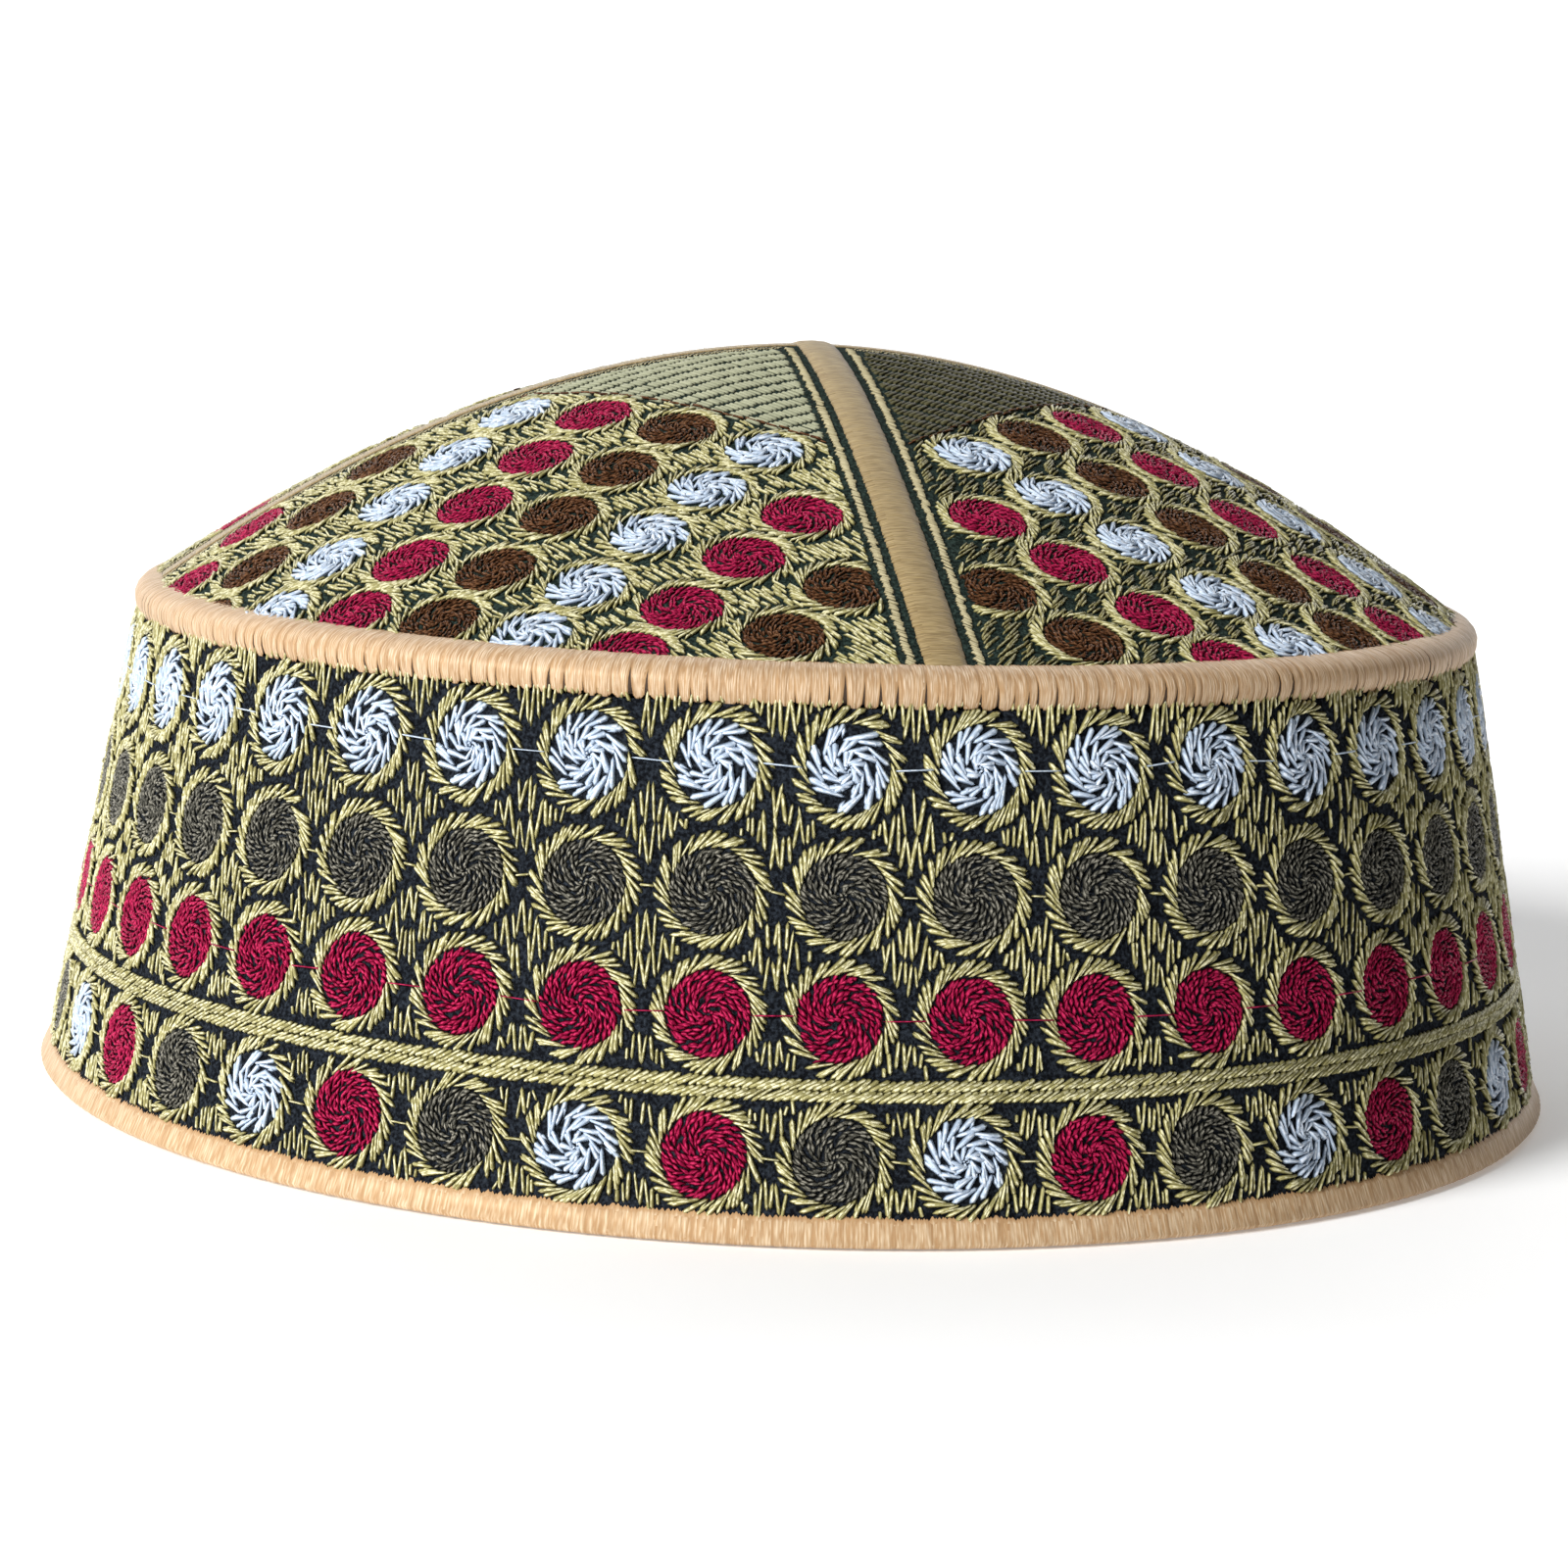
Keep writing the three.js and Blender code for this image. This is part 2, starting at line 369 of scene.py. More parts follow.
class Motifs:
    """Places of the round motifs: centre, east and north of each, and its thread's letter."""

    def __init__(self, centre, east, north, thread):
        self.centre = centre
        self.east = east
        self.north = north
        self.thread = thread

    def of(self, letter):
        """The motifs stitched in one thread."""
        chosen = self.thread == letter
        return Motifs(self.centre[chosen], self.east[chosen], self.north[chosen], self.thread[chosen])

    def polar(self, radius, angle):
        """World points at (radius, angle), one row of them for each motif, as one list."""
        x, y = (radius * np.cos(angle))[..., None], (radius * np.sin(angle))[..., None]
        places = self.centre[:, None] + x * self.east[:, None] + y * self.north[:, None]
        return places.reshape(-1, 3)


def zigzag_round(ground, motifs, zigzag, width, height, rng, back=0.8):
    """A round of zigzags: out by a long leg turned clockwise, and back by a short one.

    zigzag is (inner radius, outer radius, periods, turn of the long leg), and back the short legs'
    share of the long legs' width and height. Each random term is the unevenness of real stitches.
    """
    inner, outer, periods, turn = zigzag
    shape = (len(motifs.centre), periods)
    step = TURN / periods
    angle = TURN * rng.random((shape[0], 1)) - step * np.arange(periods)
    angle = angle + 0.13 * step * rng.standard_normal(shape)
    swing = turn * (1 + 0.13 * rng.standard_normal(shape))
    near = inner + 0.10 * MM * rng.standard_normal(shape)
    far = outer + 0.13 * MM * rng.standard_normal(shape)
    tip = motifs.polar(far, angle - swing)
    long_legs = stitches(ground, motifs.polar(near, angle), tip, width, height, 0.10 * MM, rng, taper=0.2)
    short_legs = stitches(ground, tip, motifs.polar(np.roll(near, -1, axis=1), np.roll(angle, -1, axis=1)),
                          width * back, height * back, 0.02 * MM, rng, steps=FINE)
    return [long_legs, short_legs]


def grain_rounds(ground, motifs, rounds, length, slant, width, height, rng):
    """Rounds of short slanted stitches. The outer end of each is turned clockwise.

    rounds lists (radius, stitches), and slant is the angle between stitch and round. Each random
    term is the unevenness of real stitches.
    """
    made = []
    for radius, number in rounds:
        shape = (len(motifs.centre), number)
        angle = TURN * (np.arange(number) / number + rng.random((shape[0], 1)))
        angle = angle + 0.10 * TURN / number * rng.standard_normal(shape)
        tilt = slant + 0.24 * rng.standard_normal(shape)
        reach = length / 2 * (1 + 0.2 * rng.standard_normal(shape))
        reach = np.minimum(reach, 1.6 * radius)
        middle = radius + 0.10 * MM * rng.standard_normal(shape)
        half_turn = reach * np.cos(tilt) / np.maximum(middle, 0.6 * MM)
        away = reach * np.sin(tilt)
        start = motifs.polar(np.maximum(middle - away, 0.05 * MM), angle + half_turn)
        end = motifs.polar(middle + away, angle - half_turn)
        made.append(stitches(ground, start, end, width, height, 0.05 * MM, rng, steps=FINE))
    return made


# Rounds of a red or brown motif (radius, stitches), of a white one (inner radius, outer radius,
# periods, turn), and the few stitches crossed in the middle of a white one (radius, stitches).
GRAIN_ROUNDS = ((0.4 * MM, 5), (1.0 * MM, 10), (1.6 * MM, 15), (2.2 * MM, 20), (2.8 * MM, 24),
                (3.4 * MM, 29), (3.95 * MM, 33), (4.3 * MM, 34))
WHITE_ROUNDS = ((2.9 * MM, 4.75 * MM, 20, 0.82), (1.6 * MM, 3.3 * MM, 16, 1.05),
                (0.5 * MM, 2.0 * MM, 11, 1.6))
WHITE_MIDDLE = ((0.35 * MM, 6),)
WHITE_WIDTH, WHITE_HEIGHT = 0.57 * MM, 0.30 * MM
# Stitches of the rounds of grains: length, slant in radians, width, height.
RED_GRAINS = (2.3 * MM, 0.6, 0.56 * MM, 0.28 * MM)
BROWN_GRAINS = (2.2 * MM, 0.62, 0.54 * MM, 0.28 * MM)
CROWN_GRAINS = (2.5 * MM, 0.5, 0.50 * MM, 0.24 * MM)
WHITE_GRAINS = (1.4 * MM, 0.5, 0.5 * MM, 0.34 * MM)


def white_motifs(ground, motifs, rng):
    """Open rounds of zigzags, with a few stitches crossed in the middle."""
    made = []
    for zigzag in WHITE_ROUNDS:
        made += zigzag_round(ground, motifs, zigzag, WHITE_WIDTH, WHITE_HEIGHT, rng, back=0.9)
    return made + grain_rounds(ground, motifs, WHITE_MIDDLE, *WHITE_GRAINS, rng)


# ---- layout of the band -------------------------------------------------------------------

# Rows from the top: height over the fold's height, threads in turn, how tall a motif is for its width.
BAND_ROWS = ((0.847, "W", 1.07), (0.621, "B", 1.0), (0.405, "R", 1.02), (0.157, "BWR", 1.0))
ROW_FRONT = -0.18                                 # angle from which the rows spread
ROW_LEVEL = 0.6                                   # share of the height where they keep their places
MOTIF_EDGE = 4.2 * MM                             # jumps leave a red or white motif this far out
FINE_THREAD, GOLD_THREAD = 0.2 * MM, 0.3 * MM     # widths of the threads that jump
BRAID_OFFSET = 0.56 * MM                          # a rope's distance from the middle of the braid
BRAID_REACH = 1.35 * MM                           # half a braid stitch's length round the band
BRAID_RISE = 0.66 * MM                            # and half its rise


def band_angle(column, height):
    """Angle of a column number at a height, from the columns' even spacing along the oval at the foot.

    Above ROW_LEVEL the columns then spread from the front towards the sides by the row spread, and
    below it they close up: sin a + (sin 2a) / 2.
    """
    settings = bpy.context.scene.kufi_embroidery
    angle = np.linspace(-np.pi, np.pi, 1441)
    run = running_length(oval(FOOT_RADIUS, angle, FOOT))
    run = run / run[-1] * settings.columns
    middle = settings.columns / 2
    even = np.interp((np.asarray(column) + settings.column_phase + middle) % settings.columns, run, angle)
    spread = settings.row_spread * (height / FOLD - ROW_LEVEL)
    turn = even - ROW_FRONT
    return even + spread * (np.sin(turn) + np.sin(2 * turn) / 2)


def band_pitch(height):
    """Distance from column to column at a height: the oval's length there over the columns."""
    radius = band_radius(height)
    mean_square = (radius ** 2 + (radius + DEPTH_EXTRA) ** 2) / 2
    return TURN * np.sqrt(mean_square) / bpy.context.scene.kufi_embroidery.columns


def band_columns(settings):
    """Numbers of the columns. The lowest row's three threads break off at the back."""
    return np.arange(settings.columns) - settings.columns // 2 + 1


def band_point(column, height):
    """Point of the band's outer face at a column number and a height."""
    return oval(band_radius(height), band_angle(column, height), height)


def band_motifs(settings):
    """The motifs of all rows."""
    columns = band_columns(settings)
    parts = []
    for share, letters, tall in BAND_ROWS:
        centre = band_point(columns, np.full(len(columns), share * FOLD))
        east, north, _ = band_frame(centre)
        thread = np.array([letters[column % len(letters)] for column in columns])
        parts.append((centre, east / np.sqrt(tall), north * np.sqrt(tall), thread))
    return Motifs(*(np.concatenate(values) for values in zip(*parts)))


def band_fill(settings, rng):
    """Upright zigzags in the dark ground. Each leg spans what the rings above and below leave free.

    A gap is (its lower limit, whether that is a row of rings, its upper limit, whether that is one).
    """
    rows = [share * FOLD for share, _, _ in BAND_ROWS]
    braid = settings.braid_place * FOLD
    edge = 1.8 * MM                               # from the middle of the braid to the zigzags
    gaps = [(rows[0], True, PIPING_LOW[2] + 1.0 * MM, False), (rows[1], True, rows[0], True),
            (rows[2], True, rows[1], True), (braid + edge, False, rows[2], True),
            (rows[3], True, braid - edge, False), (BINDING_HIGH[2] + 0.1 * MM, False, rows[3], True)]
    low, over_row, high, under_row = (np.array(values)[:, None, None, None] for values in zip(*gaps))
    lines = settings.fill_lines
    line = np.arange(lines)[:, None, None]
    column = band_columns(settings)[:, None]
    tier = np.arange(3)
    shape = (len(gaps), lines, settings.columns, len(tier))
    share = (line + 0.5) / lines - 0.5 + 0.14 / lines * rng.standard_normal(shape[:3] + (1,))
    side = share * band_pitch((low + high) / 2)
    reach = np.sqrt(np.clip(settings.ring_outer ** 2 - side ** 2, 0, None)) + 0.25 * MM
    reach = np.maximum(reach, settings.neck)
    bottom = np.where(over_row, low + reach, low)
    top = np.where(under_row, high - reach, high)
    room = top - bottom
    tiers = np.clip(np.round(room / settings.fill_length), 1, 3)
    start = bottom + room * np.minimum(tier / tiers, 1) + 0.38 * MM * rng.standard_normal(shape)
    end = bottom + room * np.minimum((tier + 1) / tiers, 1) + 0.38 * MM * rng.standard_normal(shape)
    keep = (tier < tiers) & (room > 0.8 * MM) & (end - start > 0.9 * MM) & (rng.random(shape) > 0.06)
    slope = settings.fill_lean * np.clip((end - start) / settings.fill_length, 0.3, 1.2)
    lean = np.where((line + tier) % 2 == 0, 1, -1) * slope + 0.1 * MM * rng.standard_normal(shape)
    lean = lean / band_pitch((low + high) / 2)
    base = np.broadcast_to(column + share - lean, shape)[keep]
    tip = np.broadcast_to(column + share + lean, shape)[keep]
    return stitches(BAND, band_point(base, start[keep]), band_point(tip, end[keep]), settings.fill_width,
                    settings.stitch_height * 0.85, 0.03 * MM, rng)


def band_braid(settings, rng):
    """Two ropes of slanting stitches round the band."""
    made = []
    for offset in (-BRAID_OFFSET, BRAID_OFFSET):
        height = settings.braid_place * FOLD + offset
        pitch = band_pitch(height)
        count = int(pitch * settings.columns / settings.braid_pitch)
        place = np.arange(count) + rng.random() + 0.08 * rng.standard_normal(count)
        column = place * settings.columns / count
        half = BRAID_REACH / pitch * (1 + 0.1 * rng.standard_normal(count))
        rise = BRAID_RISE + 0.08 * MM * rng.standard_normal(count)
        start = band_point(column - half, height - rise)
        end = band_point(column + half, height + rise)
        made.append(stitches(BAND, start, end, settings.stitch_width * 1.2, settings.stitch_height,
                             0.05 * MM, rng))
    return made


def band_jumps(settings, row, reach, width, rng):
    """Thin threads that pass straight from each motif of a row to the next."""
    height = BAND_ROWS[row][0] * FOLD
    columns = band_columns(settings)
    share = reach / band_pitch(height)
    wander = 0.15 * MM * rng.standard_normal((2, len(columns)))
    start = band_point(columns + share, height + wander[0])
    end = band_point(columns + 1 - share, height + wander[1])
    return stitches(BAND, start, end, width, width * 0.7, 0.36 * MM, rng)


# ---- layout of the crown ------------------------------------------------------------------

# Rows from the seam: distance up the gore, motifs on each side of its middle.
CROWN_ROWS = ((5.7 * MM, 3), (16.5 * MM, 4), (28.9 * MM, 4), (40.7 * MM, 3), (52.4 * MM, 2))
CROWN_THREADS = "BRWBRWBR"                        # threads of the columns, from the long rib outwards
BOW_REACH = 43 * MM                               # distance across at which a row has its whole bow
HATCH_REACH = 62 * MM                             # lines of stitches reach this far across, past the gore
TOP_REACH = 92 * MM                               # and this far up, past the apex


def gore_axes(gore):
    """Plan directions of a gore, numbered from 0: outward along its middle, and east across it."""
    angle = (gore + 0.5) * TURN / 4
    outward = np.array([np.sin(angle), -np.cos(angle)])
    return outward, np.array([-outward[1], outward[0]])


def on_gore(gore, across, up):
    """Point of the crown at a gore's chart: across its middle, and up the cloth along it from the seam.

    Towards the gore's sides the rows bend up by row bow * (across / BOW_REACH) squared.
    """
    outward, east = gore_axes(gore)
    edge = SEAM_RADIUS / np.hypot(outward[0], outward[1] / STRETCH)
    reach = np.linspace(edge, -0.2 * edge, 289)
    line = crown_point(outward[0] * reach, outward[1] * reach)
    run = running_length(line)
    bow = bpy.context.scene.kufi_embroidery.row_bow * (across / BOW_REACH) ** 2
    distance = np.interp(up + bow, run, reach)
    return crown_point(outward[0] * distance + east[0] * across, outward[1] * distance + east[1] * across)


def crown_frame(points, gore):
    """East across the gore and north up its slope, as unit tangents of the crown."""
    outward, _ = gore_axes(gore)
    rise_x, rise_y = crown_slope(points)
    x, y = np.full_like(rise_x, -outward[0]), np.full_like(rise_y, -outward[1])
    north = unit(np.stack([x, y, rise_x * x + rise_y * y], axis=-1))
    return np.cross(north, crown_normal(points)), north


def gore_motifs(gore, settings):
    """Motifs of one gore: rows across it, columns along its middle, one thread to a column."""
    threads = CROWN_THREADS if gore % 2 == 0 else CROWN_THREADS[::-1]
    half = len(threads) // 2
    across, up, thread = [], [], []
    for height, each_side in CROWN_ROWS:
        for column in range(half - each_side, half + each_side):
            across.append((column - half + 0.5) * settings.crown_pitch)
            up.append(height)
            thread.append(threads[column])
    centre = on_gore(gore, np.array(across), np.array(up))
    east, north = crown_frame(centre, gore)
    return Motifs(centre, east, north, np.array(thread))


def within_gore(gore, strands, settings):
    """The strands between a gore's flank lines and clear of the piping, cut short at a flank line.

    clear is how far the two ends of each strand lie within the flank lines. share is the part of the
    strand that stays, and strands with less than 0.3 are left out.
    """
    outward, _ = gore_axes(gore)
    ends = strands.path[:, [0, -1]]
    clear = (ends[..., :2] * np.sign(outward)).min(axis=2) - settings.flank_clear
    nearest, farthest = clear.min(axis=1), clear.max(axis=1)
    reach = np.hypot(strands.path[..., 0], strands.path[..., 1] / STRETCH).max(axis=1)
    inner = np.where((clear[:, 0] > clear[:, 1])[:, None], ends[:, 0], ends[:, 1])
    share = farthest / np.maximum(farthest - nearest, 1e-9)
    share = np.where(nearest < 0, np.clip(share, 0, 1), 1)
    path = inner[:, None] + (strands.path - inner[:, None]) * share[:, None, None]
    cut = Strands(path, strands.outward, strands.width, strands.height)
    return cut.chosen((farthest > 0) & (share > 0.3) & (reach < SEAM_RADIUS - 0.6 * MM))


def gore_hatch(gore, cell, spacing, fall, stagger, low, high, loose, rng):
    """Chart ends of level lines of stitches, a cell long, shifted by stagger from line to line.

    fall is the drop of a stitch over its own length, and loose its unevenness as a share of the cell.
    """
    line = np.arange(low, high, spacing)[:, None]
    first = np.arange(-HATCH_REACH, HATCH_REACH, cell)[None]
    shape = (line.size, first.size)
    shift = (np.arange(line.size) * stagger % cell)[:, None]
    start = first + shift + loose * cell * rng.standard_normal(shape)
    length = cell * (0.96 + loose * rng.standard_normal(shape))
    up = line + 1.5 * loose * spacing * rng.standard_normal(shape)
    drop = (1 if gore % 2 else -1) * fall * (0.5 + 1.5 * loose * rng.standard_normal(shape))
    return (np.stack([start, up + drop], axis=-1).reshape(-1, 2),
            np.stack([start + length, up - drop], axis=-1).reshape(-1, 2))


def gore_fill(gore, motifs, settings, rng):
    """Slanted stitches in the dark ground between the rings, falling towards the long rib.

    A stitch with one end under a ring is halved, one with both ends under rings is shortened, and one
    whose middle lies under a ring is left out.
    """
    length = settings.crown_fill_length
    start, end = gore_hatch(gore, length, settings.crown_fill_spacing, settings.crown_fill_fall,
                            length * 0.13, -1.5 * MM, settings.plain_start - 0.5 * MM, 0.12, rng)
    middle = (start + end) / 2

    def place(chart):
        return on_gore(gore, chart[:, 0], chart[:, 1])

    def clear(chart):
        away = np.linalg.norm(place(chart)[:, None] - motifs.centre[None], axis=2).min(axis=1)
        return away > settings.crown_ring_outer - 0.3 * MM

    first, centre, last = clear(start), clear(middle), clear(end)
    near, far = start + (middle - start) * 0.35, end + (middle - end) * 0.35
    made = []
    for begin, finish, keep in (
        (start, end, first & centre & last), (start, middle, first & centre & ~last),
        (middle, end, ~first & centre & last), (near, far, ~first & centre & ~last),
    ):
        keep = keep & (rng.random(len(keep)) > 0.03)
        made.append(stitches(CROWN, place(begin[keep]), place(finish[keep]), settings.crown_fill_width,
                             settings.stitch_height * 0.8, 0.03 * MM, rng, taper=0.1))
    return made


def gore_plain_top(gore, settings, rng):
    """Close level stitches over the top of a gore. Their stagger draws slanting lines."""
    towards_rib = 1 if gore % 2 else -1
    start, end = gore_hatch(gore, settings.plain_length, settings.plain_spacing, 0.3 * MM,
                            towards_rib * settings.plain_stagger, settings.plain_start, TOP_REACH,
                            0.03, rng)
    begin, finish = on_gore(gore, start[:, 0], start[:, 1]), on_gore(gore, end[:, 0], end[:, 1])
    return [stitches(CROWN, begin, finish, settings.plain_spacing * 1.3, settings.stitch_height * 0.7,
                     0.0, rng, steps=LAID)]


def gore_border(gore, settings, rng):
    """A line of stitches along the lower edge of a gore's plain top."""
    reach, pitch, length = 34 * MM, 1.5 * MM, 1.9 * MM
    across = np.arange(-reach, reach, pitch)
    up = settings.plain_start + 0.15 * MM * rng.standard_normal(len(across))
    start, end = on_gore(gore, across, up), on_gore(gore, across + length, up)
    return stitches(CROWN, start, end, 0.34 * MM, 0.2 * MM, 0.12 * MM, rng)


def flank_lines(settings, rng):
    """Narrow lines along both sides of each rib, of close stitches that all slant to the same side."""
    near_side = settings.flank_place - settings.flank_width / 2
    far_side = settings.flank_place + settings.flank_width / 2
    made = []
    for quarter in range(4):
        angle = quarter * TURN / 4
        along = np.array([np.sin(angle), -np.cos(angle)])
        across = np.array([-along[1], along[0]])
        beside_long_rib = quarter % 2 == 0
        edge = SEAM_RADIUS * (STRETCH if beside_long_rib else 1) - 1.2 * MM
        height = (0.2 if beside_long_rib else 0.08) * MM
        for side in (-1, 1):
            place = np.arange(settings.flank_place + 0.6 * MM, edge, settings.flank_pitch)
            count = len(place)
            place = place + 0.05 * MM * rng.standard_normal(count)
            near = side * (near_side + 0.10 * MM * rng.standard_normal(count))
            far = side * (far_side + 0.12 * MM * rng.standard_normal(count))
            near_place = place + (settings.flank_slant if side < 0 else 0)
            far_place = place + (settings.flank_slant if side > 0 else 0)
            start = along * near_place[:, None] + across * near[:, None]
            end = along * far_place[:, None] + across * far[:, None]
            start, end = (np.column_stack([ends, np.zeros(count)]) for ends in (start, end))
            made.append(stitches(CROWN, start, end, settings.flank_pitch * 0.88, height, 0.0, rng))
    return made


# ---- satin edges --------------------------------------------------------------------------

def arch(first, crown, last, share):
    """Curve in (radius, height) through first, crown at its middle, and last: a quadratic."""
    control = 2 * crown - (first + last) / 2
    share = share[..., None]
    return (1 - share) ** 2 * first + 2 * share * (1 - share) * control + share ** 2 * last


def round_the_cap(section, angle):
    """Carries (radius, height) sections, shape (..., 2), to the oval at their angles."""
    return oval(section[..., 0], angle, section[..., 1])


RING_STEPS = 320                                  # sides of a ring that is carried round the oval


def ring_core(section, steps):
    """Closed ring: a closed section, anticlockwise in (radius, height), carried round the oval."""
    angle = np.linspace(0, TURN, steps, endpoint=False)
    points = round_the_cap(section[:, None], angle[None])
    return points.reshape(-1, 3), grid_triangles(len(section), steps, True, True)[:, ::-1]


BUNDLE = (4, 8)                                   # fewest and most strands that lie in one bundle
PIPING_NOTCH = (0.85, 0.46, 0.5 * MM)             # the piping's bundles part in long slits
BINDING_NOTCH = (0.12, 0.04, 0.08 * MM)           # and the binding's hardly at all
WOUND_WIDTH, RIB_STRAND_WIDTH = 3.0, 2.6          # widths of a satin strand, in pitches: they overlap
SATIN_THICKNESS = 0.05 * MM


def wrapped_strands(section, pitch, notch, rng):
    """Strands wound over an open section, (steps, 2) in (radius, height), side by side round the cap.

    They lie in uneven bundles. notch is (how much of its length a bundle is drawn together at its
    first end, how hard, how much further its middle reaches there).
    side is a strand's place in its bundle, from -1 to 1, and seat its place round the cap in strands.
    Each random term is the unevenness of wound thread.
    """
    steps = len(section)
    mean = np.mean(section[:, 0])
    fine = np.linspace(0, TURN, 2881)
    run = running_length(oval(mean, fine, 0.0))
    count = int(run[-1] / pitch)
    place = np.arange(count)
    ends = np.cumsum(rng.integers(BUNDLE[0], BUNDLE[1] + 1, size=count))
    member = np.searchsorted(ends, place, side="right")
    size = np.bincount(member)[member]
    middle = (np.bincount(member, place) / np.maximum(np.bincount(member), 1))[member]
    side = (place - middle) / (size / 2)
    drawn = notch[0] * rng.uniform(0.6, 1.7, count)[member][:, None]
    force = notch[1] * rng.uniform(0.1, 1.5, count)[member][:, None]
    droop = notch[2] * (1 + 0.5 * rng.standard_normal(count)[member])
    along = np.linspace(0, 1, steps)
    fade = np.clip(1 - along / drawn, 0, 1)
    seat = place[:, None] - np.minimum(force, 0.8) * side[:, None] * fade * size[:, None] / 2
    wander, lean = 0.05 * rng.standard_normal((count, 1)), 0.4 * rng.standard_normal((count, 1))
    seat = seat + wander + lean * (along - 0.5)
    angle = np.interp(seat * run[-1] / count % run[-1], run, fine)
    heading = unit(np.gradient(section, axis=0))
    sections = np.repeat(section[None], count, axis=0)
    further = droop * (1 - side ** 2) + 0.12 * MM * rng.standard_normal(count)
    sections[:, 0] -= further[:, None] * heading[0]
    sections[:, 1] -= 0.7 * further[:, None] * heading[0]
    sections[:, -1] += 0.2 * MM * rng.standard_normal((count, 1)) * heading[-1]
    away = np.stack([heading[:, 1], -heading[:, 0]], axis=-1)
    away = away * np.sign(np.sum((section - section.mean(axis=0)) * away))
    path = round_the_cap(sections, angle)
    normal = unit(round_the_cap(sections + away * MM, angle) - path)
    lift = 0.05 * MM * (1 - side ** 2) + 0.008 * MM * rng.standard_normal(count)
    body = np.r_[0, np.ones(steps - 2), 0]
    width = pitch * WOUND_WIDTH * (1 - notch[1] * fade)
    return Strands(path + normal * (lift[:, None] * body)[..., None], normal, width, SATIN_THICKNESS)


RIB_JOINT = 0.2 * MM                              # the crown's slope is read this far beside the joint


def rib_strands(angle, first, last, bulge, pitch, rng):
    """Strands across a rib, side by side from first to last: arches, bulge * (1 - side cubed) high.

    Their ends, past the rib's edges, dip into the cloth.
    """
    along = oval_plan(1, angle)
    scale = np.hypot(*along)
    direction = along / scale
    across = np.array([-direction[1], direction[0]])
    count = int(abs(first - last) * scale / pitch)
    place = (first + (last - first) * (np.arange(count) + 0.5) / count) * scale
    place = place + 0.015 * MM * rng.standard_normal(count)
    side = np.array([-1.04, -0.94, -0.6, 0, 0.6, 0.94, 1.04])   # across the rib, past its edges
    slant = 0.12 * MM * side + 0.03 * MM * rng.standard_normal((count, 1))
    reach = RIB_WIDTH / 2 * side + 0.05 * MM * rng.standard_normal((count, 1)) * np.sign(side)
    x = direction[0] * (place[:, None] + slant) + across[0] * reach
    y = direction[1] * (place[:, None] + slant) + across[1] * reach
    path = crown_point(x, y)
    middle = np.stack([direction[0] * place, direction[1] * place, 0 * place], axis=-1)
    beside = RIB_JOINT * np.r_[across, 0]
    level = unit(crown_normal(middle + beside) + crown_normal(middle - beside))
    rise = 0.06 * MM + bulge * (1 - np.clip(np.abs(side), 0, 1) ** 3)
    rise = np.where(np.abs(side) > 1, -0.1 * MM, rise)
    path = path + level[:, None] * rise[None, :, None]
    tilt = unit(level[:, None] + 0.5 * side[None, :, None] * np.r_[across, 0])
    return Strands(path, tilt, pitch * RIB_STRAND_WIDTH, SATIN_THICKNESS)


def rib_core(angle, first, last, bulge):
    """Closed slab under a rib's strands, arched across and a little narrower than they are."""
    along = oval_plan(1, angle)
    across = unit(np.array([-along[1], along[0]]))
    share = np.linspace(0, 1, 61)[:, None]
    turn = np.linspace(0, TURN, 12, endpoint=False)[None]
    side = 0.97 * np.cos(turn)
    place = first + (last - first) * share
    x = along[0] * place + across[0] * side * RIB_WIDTH / 2
    y = along[1] * place + across[1] * side * RIB_WIDTH / 2
    surface = crown_point(x, y)
    depth = 0.4 * MM                              # of its underside in the cloth
    rise = np.where(np.sin(turn) > 0, bulge * (1 - np.abs(side) ** 3), depth * np.sin(turn))
    surface[..., 2] += rise + 0 * share
    rows, columns = surface.shape[:2]
    points = surface.reshape(-1, 3)
    sides = grid_triangles(rows, columns, False, True)
    first_cap = [(0, step + 1, step) for step in range(1, columns - 1)]
    base = (rows - 1) * columns
    last_cap = [(base, base + step, base + step + 1) for step in range(1, columns - 1)]
    triangles = np.concatenate([sides, first_cap, last_cap])
    return points, triangles if first > last else triangles[:, ::-1]


# ---- materials ----------------------------------------------------------------------------

MIX_FACTOR, MIX_A, MIX_B, MIX_RESULT = 0, 6, 7, 2   # sockets of a colour Mix node


def linear(hex_colour):
    """Linear RGBA of an sRGB hex colour such as C8BE78."""
    channels = np.array([int(hex_colour[at:at + 2], 16) for at in (0, 2, 4)]) / 255
    flat = np.where(channels <= 0.04045, channels / 12.92, ((channels + 0.055) / 1.055) ** 2.4)
    return (*flat.tolist(), 1.0)


def add_node(tree, kind, inputs=None, **settings):
    """Adds a node. inputs maps a socket to a value, or to (node, output) for a link."""
    node = tree.nodes.new(kind)
    for key, value in settings.items():
        setattr(node, key, value)
    for socket, value in (inputs or {}).items():
        if isinstance(value, tuple) and isinstance(value[0], bpy.types.Node):
            tree.links.new(value[0].outputs[value[1]], node.inputs[socket])
        else:
            node.inputs[socket].default_value = value
    return node


def new_material(name):
    """An empty node material and its tree."""
    material = bpy.data.materials.new(name)
    material.use_nodes = True
    material.node_tree.nodes.clear()
    return material, material.node_tree


def finish_material(tree, shader):
    """Joins the shader to the output."""
    add_node(tree, "ShaderNodeOutputMaterial", {"Surface": (shader, 0)})
